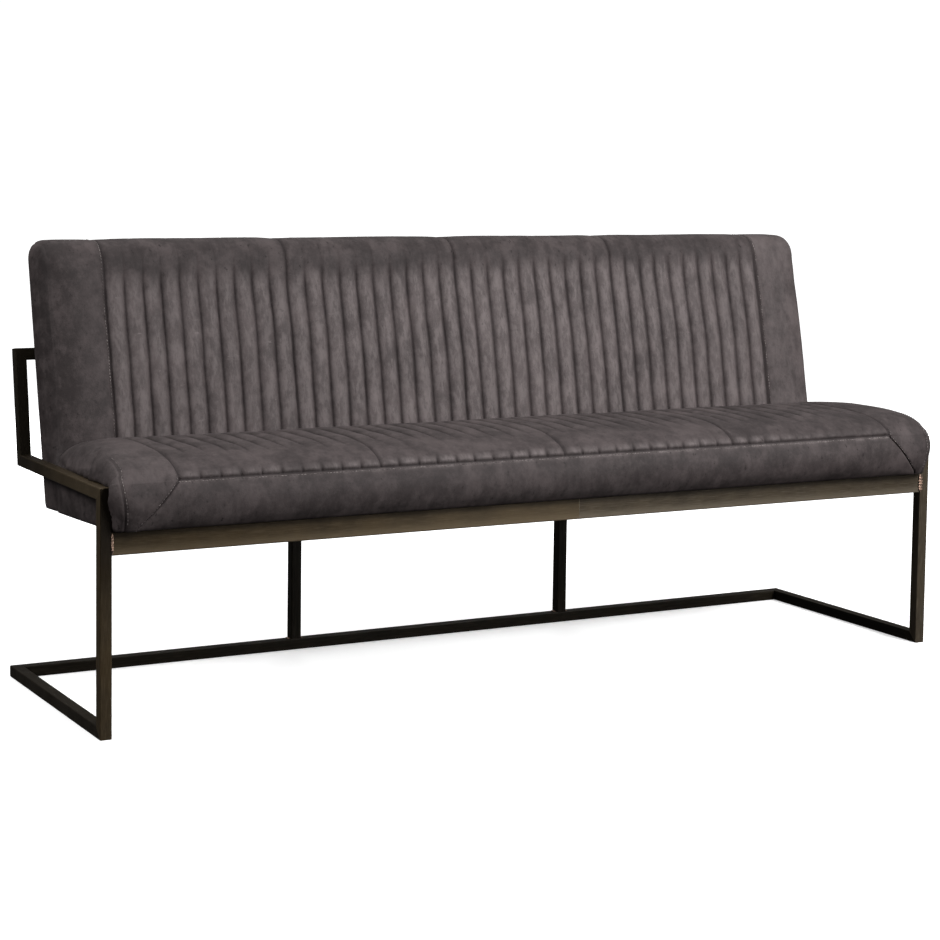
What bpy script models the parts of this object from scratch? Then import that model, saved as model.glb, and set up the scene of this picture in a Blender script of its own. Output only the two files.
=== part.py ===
"""Upholstered dining bench: a channelled seat and backrest on a welded square-tube frame.

Metres, +Z up, +X along the bench, +Y towards the back. The origin is on the floor, under the
middle of the bench. Run it in Blender to build every sub-part as its own object.
"""

import math

import bmesh
import bpy
from mathutils import Matrix, Vector

# Welded frame
FRAME_LENGTH = 1.800
FRAME_DEPTH = 0.516
LEG_HEIGHT = 0.4345
TUBE_WIDTH = 0.022
TUBE_WALL = 0.0015
TUBE_CORNER = 0.002
UPRIGHT_SETBACK = 0.0587
UPRIGHT_LEAN = math.radians(8.4)
BACK_BAR_RISE = 0.1966
FRONT_RAIL_HEIGHT = 0.040
FRONT_RAIL_DROP = 0.077
FRONT_RAIL_JOINT = 0.050
POST_SPACING = 0.626
WELD_WIDTH = 0.005
WELD_HEIGHT = 0.0015

# Seat
SEAT_OVERHANG = 0.036
SEAT_THICKNESS = 0.129
SEAT_RAKE = math.radians(2.8)
SEAT_SIDE_GAP = 0.002
SEAT_BOXING = 0.086
SEAT_BOXING_TUCK = 0.014
SEAT_REAR_DROP = 0.028
SEAT_END_DROOP = 0.010
SEAT_END_ROUND = 0.030
SEAT_END_PANEL = 0.109
SEAT_BOARD = 0.015
SEAT_BOARD_EDGE = 0.022
SEAT_PADDING = 0.034
DUST_COVER = 0.001

# Backrest
BACK_SIDE_GAP = 0.014
BACK_RISE = 0.4755
BACK_THICKNESS = 0.086
BACK_LEAN = math.radians(12.6)
BACK_CROWN = 0.005
BACK_TOP_ROUND = 0.018
BACK_LOW_ROUND = 0.010
BACK_END_ROUND = 0.030
BACK_END_PANEL = 0.118
BACK_BOARD = 0.012
BACK_PANEL = 0.006
BACK_BOARD_EDGE = 0.020
BACK_PADDING = 0.026
BACK_SPACER = 0.004

# Sewn channels on both cushions
PANEL_COUNT = 4
CHANNELS_PER_PANEL = 10
CHANNEL_DEPTH = 0.006
PANEL_SEAM_DEPTH = 0.008
END_PULL = 0.002

# Bolts and fits
BOLT_DIAMETER = 0.006
BOLT_HEAD = 0.011
BOLT_HEAD_HEIGHT = 0.0035
BOLT_PLAY = 0.0005
BOLT_TIP = 0.002
BACK_BOLT_COUNT = 4
BACK_BOLT_INSET = 0.270
SEAT_BOLT_FRONT = 0.058
SEAT_BOLT_REAR = 0.050
SPACER_LENGTH = 0.034
SPACER_HEIGHT = 0.018
CLEARANCE = 0.0003

# Mesh fineness
TUBE_CORNER_STEPS = 2
ROUND_SIDES = 12
END_ROUND_STEPS = 3
BEAD_STEPS = 4

# Shares that shape round edges, and the ways in which a cushion section's point may draw in
TOP_SHOULDER = 0.2
LOW_CORNER_CUT = 0.3
END_DISH = 0.3
BOXING_BULGE = 0.6
SEAT_CROWN_PLACE = 0.42
RIB_PLACES = (0.22, 0.50, 0.78)
BOLT_HEAD_TOP = 0.7
BEAD_RINGS = ((-0.5, 0.4), (-0.3, 1.0), (0.3, 1.0), (0.5, 0.4))
FORWARD = (-math.cos(SEAT_RAKE), math.sin(SEAT_RAKE))
UP_THE_BACK = (math.sin(BACK_LEAN), math.cos(BACK_LEAN))
STAYS = (0.0, 0.0)

# Places that follow from the sizes above
half_tube = TUBE_WIDTH / 2
frame_front = (SEAT_OVERHANG - FRAME_DEPTH) / 2
frame_rear = frame_front + FRAME_DEPTH
front_rail_top = LEG_HEIGHT - FRONT_RAIL_DROP
underside = front_rail_top + CLEARANCE
seat_front = frame_front - SEAT_OVERHANG
seat_top = underside + SEAT_THICKNESS
seat_half = FRAME_LENGTH / 2 - TUBE_WIDTH - SEAT_SIDE_GAP
back_half = FRAME_LENGTH / 2 - TUBE_WIDTH - BACK_SIDE_GAP
back_top = underside + BACK_RISE

# The seat's underside rests on the front rail's rear edge and falls from there towards the back
seat_pivot = frame_front + TUBE_WIDTH
seat_frame = Matrix.Translation((0, seat_pivot, underside)) @ Matrix.Rotation(-SEAT_RAKE, 4, "X")

# The upright's corner on the side rail, the back bar's centre line, and the backrest's rear plane
upright_along = Vector((0, math.sin(UPRIGHT_LEAN), math.cos(UPRIGHT_LEAN)))
upright_back = Vector((0, math.cos(UPRIGHT_LEAN), -math.sin(UPRIGHT_LEAN)))
upright_foot = Vector((0, frame_rear - UPRIGHT_SETBACK, LEG_HEIGHT - half_tube))
bar_centre = upright_foot + upright_along * (BACK_BAR_RISE / math.cos(UPRIGHT_LEAN))
back_seat_point = bar_centre - upright_back * (half_tube + BACK_SPACER)
back_frame = Matrix.Translation(back_seat_point) @ Matrix.Rotation(-BACK_LEAN, 4, "X")

FINISHES = {
    "steel": ((0.055, 0.047, 0.038), 0.42, 0.85),
    "weld": ((0.20, 0.13, 0.085), 0.50, 0.85),
    "leather": ((0.075, 0.067, 0.066), 0.55, 0.0),
    "foam": ((0.80, 0.76, 0.62), 0.90, 0.0),
    "plywood": ((0.58, 0.43, 0.27), 0.70, 0.0),
    "dust_cloth": ((0.02, 0.02, 0.02), 0.95, 0.0),
    "rubber": ((0.03, 0.03, 0.03), 0.80, 0.0),
    "zinc": ((0.50, 0.50, 0.52), 0.35, 1.0),
}


def clear_scene():
    """Empty the scene."""
    for item in list(bpy.data.objects):
        bpy.data.objects.remove(item, do_unlink=True)


def add_material(name, finish):
    """A plain material of one finish, for one sub-part."""
    colour, roughness, metallic = FINISHES[finish]
    material = bpy.data.materials.new(name + "_" + finish)
    material.use_nodes = True
    shader = material.node_tree.nodes["Principled BSDF"]
    shader.inputs["Base Color"].default_value = (*colour, 1.0)
    shader.inputs["Roughness"].default_value = roughness
    shader.inputs["Metallic"].default_value = metallic
    return material


def add_object(name, shape, finish, place=None, smooth_below=math.radians(40)):
    """Turn a bmesh into a named object under the bench's empty."""
    bmesh.ops.recalc_face_normals(shape, faces=shape.faces)
    mesh = bpy.data.meshes.new(name)
    shape.to_mesh(mesh)
    shape.free()
    mesh.shade_smooth()
    mesh.set_sharp_from_angle(angle=smooth_below)
    item = bpy.data.objects.new(name, mesh)
    item.matrix_world = place or Matrix.Identity(4)
    mesh.materials.append(add_material(name, finish))
    bpy.context.scene.collection.objects.link(item)
    item.parent = bench
    return item


def cut(item, cutter):
    """Take a cutter's shape out of an object."""
    modifier = item.modifiers.new("cut_" + cutter.name, "BOOLEAN")
    modifier.operation = "DIFFERENCE"
    modifier.solver = "EXACT"
    modifier.object = cutter


def add_cutter(name, shape, place=None):
    """A shape that is only taken out of others."""
    cutter = add_object(name, shape, "steel", place)
    cutter.hide_render = True
    cutter.display_type = "WIRE"
    return cutter


def box_shape(low, high):
    """A box between two corners."""
    shape = bmesh.new()
    bmesh.ops.create_cube(shape, size=1.0)
    size = Vector(high) - Vector(low)
    middle = (Vector(high) + Vector(low)) / 2
    bmesh.ops.scale(shape, verts=shape.verts, vec=size)
    bmesh.ops.translate(shape, verts=shape.verts, vec=middle)
    return shape


def turned_shape(profile, places=(Matrix.Identity(4),)):
    """A turned profile of (radius, height) points about the Z axis of each place."""
    shape = bmesh.new()
    for place in places:
        rings = []
        for radius, height in profile:
            ring = []
            for side in range(ROUND_SIDES):
                angle = 2 * math.pi * side / ROUND_SIDES
                point = Vector((radius * math.cos(angle), radius * math.sin(angle), height))
                ring.append(shape.verts.new(place @ point))
            rings.append(ring)
        for lower, upper in zip(rings, rings[1:]):
            for side in range(ROUND_SIDES):
                other = (side + 1) % ROUND_SIDES
                shape.faces.new((lower[side], lower[other], upper[other], upper[side]))
        shape.faces.new(rings[0])
        shape.faces.new(rings[-1])
    return shape


def rounded_rectangle(width, depth, radius):
    """Points of a rectangle with round corners, in order around its middle."""
    points = []
    for corner in range(4):
        middle_x = (width / 2 - radius) * (1 if corner in (0, 3) else -1)
        middle_y = (depth / 2 - radius) * (1 if corner in (0, 1) else -1)
        for step in range(TUBE_CORNER_STEPS + 1):
            angle = math.pi / 2 * (corner + step / TUBE_CORNER_STEPS)
            points.append((middle_x + radius * math.cos(angle), middle_y + radius * math.sin(angle)))
    return points


def add_tube(name, start, end, across, width=TUBE_WIDTH, start_cut=None, end_cut=None):
    """A hollow tube between two points of its centre line, cut square or on the given mitre planes.

    The width lies along the across direction, and the other side is one tube width deep.
    """
    along = (end - start).normalized()
    second = along.cross(across)
    turn = Matrix((across, second, along)).transposed()
    place = Matrix.Translation(start) @ turn.to_4x4()
    length = (end - start).length
    outer = rounded_rectangle(width, TUBE_WIDTH, TUBE_CORNER)
    inner_corner = max(TUBE_CORNER - TUBE_WALL, TUBE_CORNER / 4)
    inner = rounded_rectangle(width - 2 * TUBE_WALL, TUBE_WIDTH - 2 * TUBE_WALL, inner_corner)
    shape = bmesh.new()

    def ring(points, height, plane, gap):
        local = turn.transposed() @ (plane or along).normalized()
        offset = height + gap / abs(local.z)
        verts = []
        for x, y in points:
            slope = (x * local.x + y * local.y) / local.z
            verts.append(shape.verts.new((x, y, offset - slope)))
        return verts

    half_gap = CLEARANCE / 2
    rings = [
        ring(outer, 0, start_cut, half_gap),
        ring(outer, length, end_cut, -half_gap),
        ring(inner, length, end_cut, -half_gap),
        ring(inner, 0, start_cut, half_gap),
    ]
    count = len(outer)
    for index, first in enumerate(rings):
        after = rings[(index + 1) % 4]
        for side in range(count):
            other = (side + 1) % count
            shape.faces.new((first[side], first[other], after[other], after[side]))
    return add_object(name, shape, "steel", place)


def mitre(incoming, outgoing):
    """Normal of the plane on which two tubes meet at a corner."""
    return (incoming.normalized() + outgoing.normalized()).normalized()


def add_bead(name, middle, along, out, length):
    """A weld bead: a low half-round strip that thins out at its two ends."""
    shape = bmesh.new()
    across = along.cross(out)
    rings = []
    for end, height in BEAD_RINGS:
        ring = []
        for step in range(BEAD_STEPS + 1):
            angle = math.pi * step / BEAD_STEPS
            reach = across * (math.cos(angle) * WELD_WIDTH / 2)
            rise = out * (math.sin(angle) * WELD_HEIGHT * height)
            ring.append(shape.verts.new(along * (end * length) + reach + rise))
        rings.append(ring)
    for first, after in zip(rings, rings[1:]):
        for step in range(BEAD_STEPS + 1):
            other = (step + 1) % (BEAD_STEPS + 1)
            shape.faces.new((first[step], first[other], after[other], after[step]))
    shape.faces.new(rings[0])
    shape.faces.new(rings[-1])
    return add_object(name, shape, "weld", Matrix.Translation(middle))


def back_plane(height, depth=0.0):
    """Y of the backrest's plane at a height, this deep in front of its rear face."""
    return (
        back_seat_point.y
        + (height - back_seat_point.z) * math.tan(BACK_LEAN)
        - depth / math.cos(BACK_LEAN)
    )


def seat_floor(y):
    """Height of the seat's underside at a place from front to back."""
    return underside - (y - seat_pivot) * math.tan(SEAT_RAKE)


def floor_corner(depth):
    """Where the backrest's plane of this depth meets the seat's underside, as (y, z)."""
    slopes = math.tan(BACK_LEAN) * math.tan(SEAT_RAKE)
    z = seat_floor(back_plane(0.0, depth)) / (1 + slopes)
    return back_plane(z, depth), z


def cushion_columns(half_length, end_round, end_panel):
    """Columns along a cushion: x, how far the section is drawn in, channel depth, and plain or fine."""
    columns = []
    for step in range(END_ROUND_STEPS + 1):
        angle = math.pi / 2 * (1 - step / END_ROUND_STEPS)
        x = half_length - end_round * (1 - math.sin(angle))
        columns.append((-x, end_round * (1 - math.cos(angle)), 0.0, True))
    field = half_length - end_panel
    channels = PANEL_COUNT * CHANNELS_PER_PANEL
    pitch = 2 * field / channels
    for channel in range(channels + 1):
        seam = channel % CHANNELS_PER_PANEL == 0
        depth = PANEL_SEAM_DEPTH if seam else CHANNEL_DEPTH
        x = -field + channel * pitch
        columns.append((x, 0.0, depth, seam))
        if channel < channels:
            for across in RIB_PLACES:
                rib_depth = CHANNEL_DEPTH * (2 * across - 1) ** 4
                columns.append((x + across * pitch, 0.0, rib_depth, False))
    for column in columns[END_ROUND_STEPS::-1]:
        columns.append((-column[0], *column[1:]))
    return columns


def cushion_shape(section, columns, end_pull):
    """Sweep a section along a row of columns into one closed cushion.

    Each section row is (y, z, rib, outward y, outward z, droop): rib is the share of the channel
    depth that shows there, and droop is how far that row sinks, along the backrest's lean, at the
    cushion's ends. A row with no rib whose neighbours have none is made only at the plain columns.
    """
    shape = bmesh.new()
    count = len(section)
    ribbed = [row[2] > 0 for row in section]
    fine = [ribbed[i - 1] or ribbed[i] or ribbed[(i + 1) % count] for i in range(count)]
    half_length = columns[-1][0]
    field = max(abs(x) for x, drawn, depth, plain in columns if depth > 0)
    rows = []
    for (y, z, rib, out_y, out_z, droop), is_fine in zip(section, fine):
        row = {}
        for index, (x, drawn, depth, plain) in enumerate(columns):
            if not (is_fine or plain):
                continue
            inward = drawn + rib * depth
            past = max(abs(x) - field, 0.0) / (half_length - field)
            sunk = droop * past * past
            new_y = y - out_y * inward - sunk * math.tan(BACK_LEAN)
            row[index] = shape.verts.new((x, new_y, z - out_z * inward - sunk))
        rows.append(row)
    last = len(columns) - 1
    for lower, upper in zip(rows, rows[1:] + rows[:1]):
        shared = sorted(set(lower) & set(upper))
        for first, second in zip(shared, shared[1:]):
            loop = [lower[i] for i in range(first, second + 1) if i in lower]
            loop += [upper[i] for i in range(second, first - 1, -1) if i in upper]
            shape.faces.new(loop)
    for end in (0, last):
        rim = [row[end] for row in rows]
        middle = sum((vert.co for vert in rim), Vector()) / count
        pull = Vector((math.copysign(end_pull, rim[0].co.x), 0, 0))
        dish = [shape.verts.new(vert.co.lerp(middle, END_DISH) - pull) for vert in rim]
        for side in range(count):
            other = (side + 1) % count
            shape.faces.new((rim[side], rim[other], dish[other], dish[side]))
        shape.faces.new(dish)
    return shape


def with_normals(points):
    """Give each section point an outward direction, the section running clockwise seen from +X.

    A point that must stay in a plane brings its own direction, in which the cushion's ends draw in.
    """
    rows = []
    count = len(points)
    for index, (y, z, rib, droop, out) in enumerate(points):
        before = points[index - 1]
        after = points[(index + 1) % count]
        tangent = Vector((after[0] - before[0], after[1] - before[1])).normalized()
        out_y, out_z = out or (-tangent.y, tangent.x)
        rows.append((y, z, rib, out_y, out_z, droop))
    return rows


def seat_section():
    """Seat section from the front lower edge over the boxing and the crowned top to the rear edge."""
    points = []
    low = seat_floor(seat_front + SEAT_BOXING_TUCK)
    for share in (0.0, 0.25, BOXING_BULGE, 1.0):
        y = seat_front + SEAT_BOXING_TUCK * ((share - BOXING_BULGE) / BOXING_BULGE) ** 2
        points.append((y, low + share * SEAT_BOXING, 0.0, 0.0, None if share else FORWARD))
    seam_y, seam_z = points[-1][:2]
    rear_z = seat_top - SEAT_REAR_DROP
    rear_y = back_plane(rear_z, BACK_THICKNESS) - CLEARANCE
    peak = SEAT_CROWN_PLACE
    for share in (0.04, 0.15, peak, 0.72, 0.93):
        y = seam_y + share * (rear_y - seam_y)
        if share <= peak:
            z = seam_z + (seat_top - seam_z) * math.sqrt(1 - (1 - share / peak) ** 2)
        else:
            z = seat_top - SEAT_REAR_DROP * ((share - peak) / (1 - peak)) ** 4
        points.append((y, z, 1.0, SEAT_END_DROOP, None))
    points.append((rear_y, rear_z, 0.0, SEAT_END_DROOP, UP_THE_BACK))
    rear_low_y, rear_low_z = floor_corner(BACK_THICKNESS)
    points.append((rear_low_y - CLEARANCE, rear_low_z, 0.0, 0.0, STAYS))
    return with_normals(points)


def back_section():
    """Backrest section from the front lower edge up the face, over the round top and down the rear."""
    seat_line = seat_top - SEAT_REAR_DROP
    roll = back_top - BACK_TOP_ROUND
    points = [(*floor_corner(BACK_THICKNESS), 0.0, 0.0, STAYS)]
    face = ((0.0, 1.0), (0.35, 1.0), (0.70, 1.0), (0.90, 0.6), (1.0, 0.3))
    for share, rib in face:
        z = seat_line + share * (roll - seat_line)
        y = back_plane(z, BACK_THICKNESS) - BACK_CROWN * math.sin(math.pi * share) ** 2
        points.append((y, z, rib, 0.0, None))
    front_turn = back_plane(roll, BACK_THICKNESS) + BACK_TOP_ROUND
    rear_turn = back_plane(roll) - BACK_TOP_ROUND / 2
    middle = (front_turn + rear_turn) / 2
    shoulder = back_top - BACK_TOP_ROUND * TOP_SHOULDER
    points.append(((points[-1][0] + front_turn) / 2, shoulder, 0.0, 0.0, None))
    points.append((middle, back_top, 0.0, 0.0, None))
    points.append((rear_turn, shoulder, 0.0, 0.0, UP_THE_BACK))
    points.append((back_plane(roll), roll, 0.0, 0.0, UP_THE_BACK))
    corner = Vector(floor_corner(0.0))
    up = Vector(UP_THE_BACK) * BACK_LOW_ROUND
    ahead = Vector(FORWARD) * BACK_LOW_ROUND
    for offset in (up, (up + ahead) * LOW_CORNER_CUT, ahead):
        points.append((*(corner + offset), 0.0, 0.0, STAYS))
    return with_normals(points)


clear_scene()
bench = bpy.data.objects.new("bench", None)
bpy.context.scene.collection.objects.link(bench)

# Welded frame: each side is a runner, a leg, a rail and a leaning upright, joined across by rails
along_x = Vector((1, 0, 0))
along_y = Vector((0, 1, 0))
along_z = Vector((0, 0, 1))
corners = {}
for side, sign in (("left", -1), ("right", 1)):
    x = sign * (FRAME_LENGTH / 2 - half_tube)
    toe = Vector((x, frame_front + half_tube, half_tube))
    heel = Vector((x, frame_rear - half_tube, half_tube))
    knee = Vector((x, frame_front + half_tube, LEG_HEIGHT - half_tube))
    foot = Vector((x, upright_foot.y, upright_foot.z))
    crest = Vector((x, bar_centre.y, bar_centre.z))
    inward = along_x * -sign
    corners[side] = (heel, crest)
    add_tube(side + "_floor_runner", toe, heel, along_x, TUBE_WIDTH,
             mitre(-along_z, along_y), mitre(along_y, inward))
    add_tube(side + "_front_leg", toe, knee, along_x, TUBE_WIDTH,
             mitre(-along_y, along_z), mitre(along_z, along_y))
    add_tube(side + "_side_rail", knee, foot, along_x, TUBE_WIDTH,
             mitre(along_z, along_y), mitre(along_y, upright_along))
    add_tube(side + "_rear_upright", foot, crest, along_x, TUBE_WIDTH,
             mitre(along_y, upright_along), mitre(upright_along, inward))
add_tube("rear_floor_rail", corners["left"][0], corners["right"][0], along_z, TUBE_WIDTH,
         mitre(along_y, along_x), mitre(along_x, -along_y))
back_bar = add_tube("back_bar", corners["left"][1], corners["right"][1], upright_along, TUBE_WIDTH,
                    mitre(upright_along, along_x), mitre(along_x, -upright_along))

# Front rail: a deeper tube in two lengths between the legs, its top carrying the seat
rail_y = frame_front + half_tube
rail_z = front_rail_top - FRONT_RAIL_HEIGHT / 2
rail_end = FRAME_LENGTH / 2 - TUBE_WIDTH - CLEARANCE / 2
rail_spans = (("left", -rail_end, FRONT_RAIL_JOINT), ("right", FRONT_RAIL_JOINT, rail_end))
for side, from_x, to_x in rail_spans:
    add_tube("front_rail_" + side, Vector((from_x, rail_y, rail_z)), Vector((to_x, rail_y, rail_z)),
             along_z, FRONT_RAIL_HEIGHT)



def bearer_point(x, y):
    """A point of a seat bearer's centre line, which follows the seat's underside."""
    return Vector((x, y, seat_floor(y) - (half_tube + CLEARANCE) / math.cos(SEAT_RAKE)))


# Two posts on the rear floor rail, each turning forward into a bearer that ends on the front rail
bearers = []
for side, sign in (("left", -1), ("right", 1)):
    x = sign * POST_SPACING / 2
    base = Vector((x, frame_rear - half_tube, TUBE_WIDTH + CLEARANCE / 2))
    bend = bearer_point(x, frame_rear - half_tube)
    nose = bearer_point(x, seat_pivot + CLEARANCE / 2)
    corner_cut = mitre(along_z, nose - bend)
    add_tube(side + "_mid_post", base, bend, along_x, TUBE_WIDTH, along_z, corner_cut)
    bearer = add_tube(side + "_seat_bearer", bend, nose, along_x, TUBE_WIDTH, corner_cut, along_y)
    bearers.append(bearer)

# Weld beads: upright ones on the front of the rail's two ends, level ones beside each post's foot
for side, sign in (("left", -1), ("right", 1)):
    joint = Vector((sign * (FRAME_LENGTH / 2 - TUBE_WIDTH), frame_front - CLEARANCE, rail_z))
    add_bead(side + "_rail_weld", joint, along_z, -along_y, FRONT_RAIL_HEIGHT - 2 * TUBE_CORNER)
    for edge_name, edge in (("outer", sign), ("inner", -sign)):
        x = sign * POST_SPACING / 2 + edge * (half_tube + WELD_WIDTH / 2 + CLEARANCE)
        joint = Vector((x, frame_rear - half_tube, TUBE_WIDTH + CLEARANCE))
        name = side + "_post_" + edge_name + "_weld"
        add_bead(name, joint, along_y, along_z, TUBE_WIDTH - 2 * TUBE_CORNER)

# Seat: a quilted cover open underneath, over foam on a plywood board, closed by a dust cover
seat_cover = add_object(
    "seat_cover",
    cushion_shape(seat_section(), cushion_columns(seat_half, SEAT_END_ROUND, SEAT_END_PANEL), END_PULL),
    "leather",
)
board_half = seat_half - SEAT_END_ROUND - SEAT_BOARD_EDGE / 2
board_front = SEAT_BOARD_EDGE / 2 - TUBE_WIDTH
seat_rear_low = Vector((0, *floor_corner(BACK_THICKNESS)))
board_rear = (seat_frame.inverted() @ seat_rear_low).y - SEAT_BOARD_EDGE
cavity_top = SEAT_THICKNESS - SEAT_PADDING
cavity = add_cutter("seat_cavity", box_shape(
    (-board_half, board_front, -SEAT_BOARD),
    (board_half, board_rear, cavity_top)), seat_frame)
cut(seat_cover, cavity)


def seat_layer(name, low, high, finish):
    """A flat layer inside the seat, between two heights above the seat's underside."""
    return add_object(name, box_shape(
        (-board_half + CLEARANCE, board_front + CLEARANCE, low),
        (board_half - CLEARANCE, board_rear - CLEARANCE, high)), finish, seat_frame)


board_low = DUST_COVER + CLEARANCE
board_top = board_low + SEAT_BOARD
dust_cover = seat_layer("seat_dust_cover", 0.0, DUST_COVER, "dust_cloth")
seat_board = seat_layer("seat_board", board_low, board_top, "plywood")
seat_layer("seat_foam", board_top + CLEARANCE, cavity_top - CLEARANCE, "foam")

# Four bolts through the bearers into the seat board
seat_bolt_places = []
bearer_low = -CLEARANCE - TUBE_WIDTH
for sign in (-1, 1):
    for y in (SEAT_BOLT_FRONT, board_rear - SEAT_BOLT_REAR):
        on_bearer = Matrix.Translation((sign * POST_SPACING / 2, y, bearer_low))
        seat_bolt_places.append(seat_frame @ on_bearer)
bolt_radius = BOLT_DIAMETER / 2
hole_radius = bolt_radius + BOLT_PLAY
seat_bolt_length = board_top - BOLT_TIP - bearer_low
hole_reach = SEAT_BOARD
seat_holes = add_cutter("seat_bolt_holes", turned_shape(
    ((hole_radius, -hole_reach), (hole_radius, board_top - bearer_low + CLEARANCE / 2)), seat_bolt_places))
for item in (*bearers, dust_cover, seat_board):
    cut(item, seat_holes)


def bolt_profile(length):
    """Turned profile of a low-headed bolt whose shank starts at its joint face."""
    return (
        (BOLT_HEAD / 2 * BOLT_HEAD_TOP, -CLEARANCE - BOLT_HEAD_HEIGHT),
        (BOLT_HEAD / 2, -CLEARANCE - BOLT_HEAD_HEIGHT / 2),
        (BOLT_HEAD / 2, -CLEARANCE),
        (bolt_radius, -CLEARANCE),
        (bolt_radius, length),
    )


for number, place in enumerate(seat_bolt_places, 1):
    bolt = turned_shape(bolt_profile(seat_bolt_length))
    add_object("seat_bolt_" + str(number), bolt, "zinc", place)

# Backrest: a quilted cover open at the rear, over foam on a plywood board, closed by a rear panel
back_cover = add_object(
    "back_cover",
    cushion_shape(back_section(), cushion_columns(back_half, BACK_END_ROUND, BACK_END_PANEL), END_PULL),
    "leather",
)
inner_half = back_half - BACK_BOARD_EDGE
into_back = back_frame.inverted()
lowest = [(into_back @ Vector((0, *floor_corner(depth)))).z for depth in (0.0, BACK_THICKNESS)]
low_in_back = max(lowest) + BACK_BOARD_EDGE
high_in_back = (back_top - back_seat_point.z) / math.cos(BACK_LEAN) - BACK_BOARD_EDGE - BACK_TOP_ROUND
front_in_back = BACK_PADDING - BACK_THICKNESS
back_cavity = add_cutter("back_cavity", box_shape(
    (-inner_half, front_in_back, low_in_back),
    (inner_half, BACK_THICKNESS, high_in_back)), back_frame)
cut(back_cover, back_cavity)


def back_layer(name, rear, thickness, finish):
    """A flat layer inside the backrest, its rear face this far in front of the backrest's rear plane."""
    return add_object(name, box_shape(
        (-inner_half + CLEARANCE, -rear - thickness, low_in_back + CLEARANCE),
        (inner_half - CLEARANCE, -rear, high_in_back - CLEARANCE)), finish, back_frame)


back_panel = back_layer("back_rear_panel", 0.0, BACK_PANEL, "leather")
board_rear_depth = BACK_PANEL + CLEARANCE
back_board = back_layer("back_board", board_rear_depth, BACK_BOARD, "plywood")
foam_rear_depth = board_rear_depth + BACK_BOARD + CLEARANCE
foam_thickness = -front_in_back - foam_rear_depth - CLEARANCE
back_layer("back_foam", foam_rear_depth, foam_thickness, "foam")

# Four bolts through the back bar, each through a wedge spacer into the back board
bolt_turn = Matrix((along_x, upright_along, -upright_back)).transposed().to_4x4()
back_bolt_places = []
back_bolt_reach = FRAME_LENGTH / 2 - BACK_BOLT_INSET
for place in range(BACK_BOLT_COUNT):
    x = back_bolt_reach * (2 * place / (BACK_BOLT_COUNT - 1) - 1)
    on_bar = bar_centre + upright_back * half_tube
    back_bolt_places.append(Matrix.Translation((x, on_bar.y, on_bar.z)) @ bolt_turn)
to_board = TUBE_WIDTH + BACK_SPACER + board_rear_depth
back_bolt_length = to_board + BACK_BOARD - BOLT_TIP
back_holes = add_cutter("back_bolt_holes", turned_shape(
    ((hole_radius, -hole_reach), (hole_radius, to_board + BACK_BOARD + CLEARANCE)), back_bolt_places))
for item in (back_bar, back_panel, back_board):
    cut(item, back_holes)
for number, place in enumerate(back_bolt_places, 1):
    shape = bmesh.new()
    to_local = place.inverted()
    ring = []
    for across, up in ((-1, -1), (1, -1), (1, 1), (-1, 1)):
        on_bar = Vector((across * SPACER_LENGTH / 2, up * SPACER_HEIGHT / 2, TUBE_WIDTH + CLEARANCE))
        height = (place @ on_bar).z
        on_back = to_local @ Vector(((place @ on_bar).x, back_plane(height) + CLEARANCE, height))
        ring.append((shape.verts.new(on_bar), shape.verts.new(on_back)))
    for index, (on_bar, on_back) in enumerate(ring):
        next_bar, next_back = ring[(index + 1) % 4]
        shape.faces.new((on_bar, next_bar, next_back, on_back))
    shape.faces.new([pair[0] for pair in ring])
    shape.faces.new([pair[1] for pair in ring])
    spacer = add_object("back_spacer_" + str(number), shape, "rubber", place)
    cut(spacer, back_holes)
    bolt = turned_shape(bolt_profile(back_bolt_length))
    add_object("back_bolt_" + str(number), bolt, "zinc", place)
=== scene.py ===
"""Looks of an upholstered dining bench: a channel-stitched seat and back on a square-tube frame."""
import math

import bmesh
import bpy
import numpy as np
from mathutils import Matrix, Vector, noise


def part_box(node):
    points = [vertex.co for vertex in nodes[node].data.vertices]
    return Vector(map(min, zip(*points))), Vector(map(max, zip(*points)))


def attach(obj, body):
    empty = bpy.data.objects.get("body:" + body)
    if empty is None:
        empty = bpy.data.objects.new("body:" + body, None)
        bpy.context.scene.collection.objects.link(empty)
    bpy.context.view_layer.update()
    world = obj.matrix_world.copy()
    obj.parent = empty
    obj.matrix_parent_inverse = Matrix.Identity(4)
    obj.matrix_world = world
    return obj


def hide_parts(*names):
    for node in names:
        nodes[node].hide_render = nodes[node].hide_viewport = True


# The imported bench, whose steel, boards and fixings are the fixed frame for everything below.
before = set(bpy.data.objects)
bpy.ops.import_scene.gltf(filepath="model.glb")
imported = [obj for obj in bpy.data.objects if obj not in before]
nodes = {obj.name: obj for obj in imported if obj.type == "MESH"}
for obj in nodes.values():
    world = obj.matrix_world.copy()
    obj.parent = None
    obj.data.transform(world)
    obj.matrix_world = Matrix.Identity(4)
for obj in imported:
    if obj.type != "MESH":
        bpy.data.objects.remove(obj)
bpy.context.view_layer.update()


# Welded frame of square steel tube, mitred at the corners, ground flush and brushed along each tube.
# Its bronze lacquer is brown at the left and greyer at the right; at the floor and the rear it is a nearly
# black copy, painted shade for tubes that sit in shade under and behind the cushions. It is rubbed thin along
# the corners of the tube, painted lighter in long gradients as painted light, and painted dark close to the
# cushions as painted shadow.
BRONZE = ((0.066, 0.0455, 0.0232, 1.0), (0.034, 0.0240, 0.0130, 1.0), (0.170, 0.130, 0.082, 1.0))
GREY_BRONZE = ((0.076, 0.0585, 0.0385, 1.0), (0.040, 0.0308, 0.0205, 1.0), (0.210, 0.176, 0.132, 1.0))
# A near-black copy of the bronze, painted shade for the tubes in shade under and behind the cushions.
SHADE_PAINTED_BRONZE = ((0.014, 0.0112, 0.0074, 1.0), (0.008, 0.0062, 0.0040, 1.0), (0.055, 0.044, 0.031, 1.0))
BRUSH_LINES = 900.0
BRUSH_DEPTH = 0.0002
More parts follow.
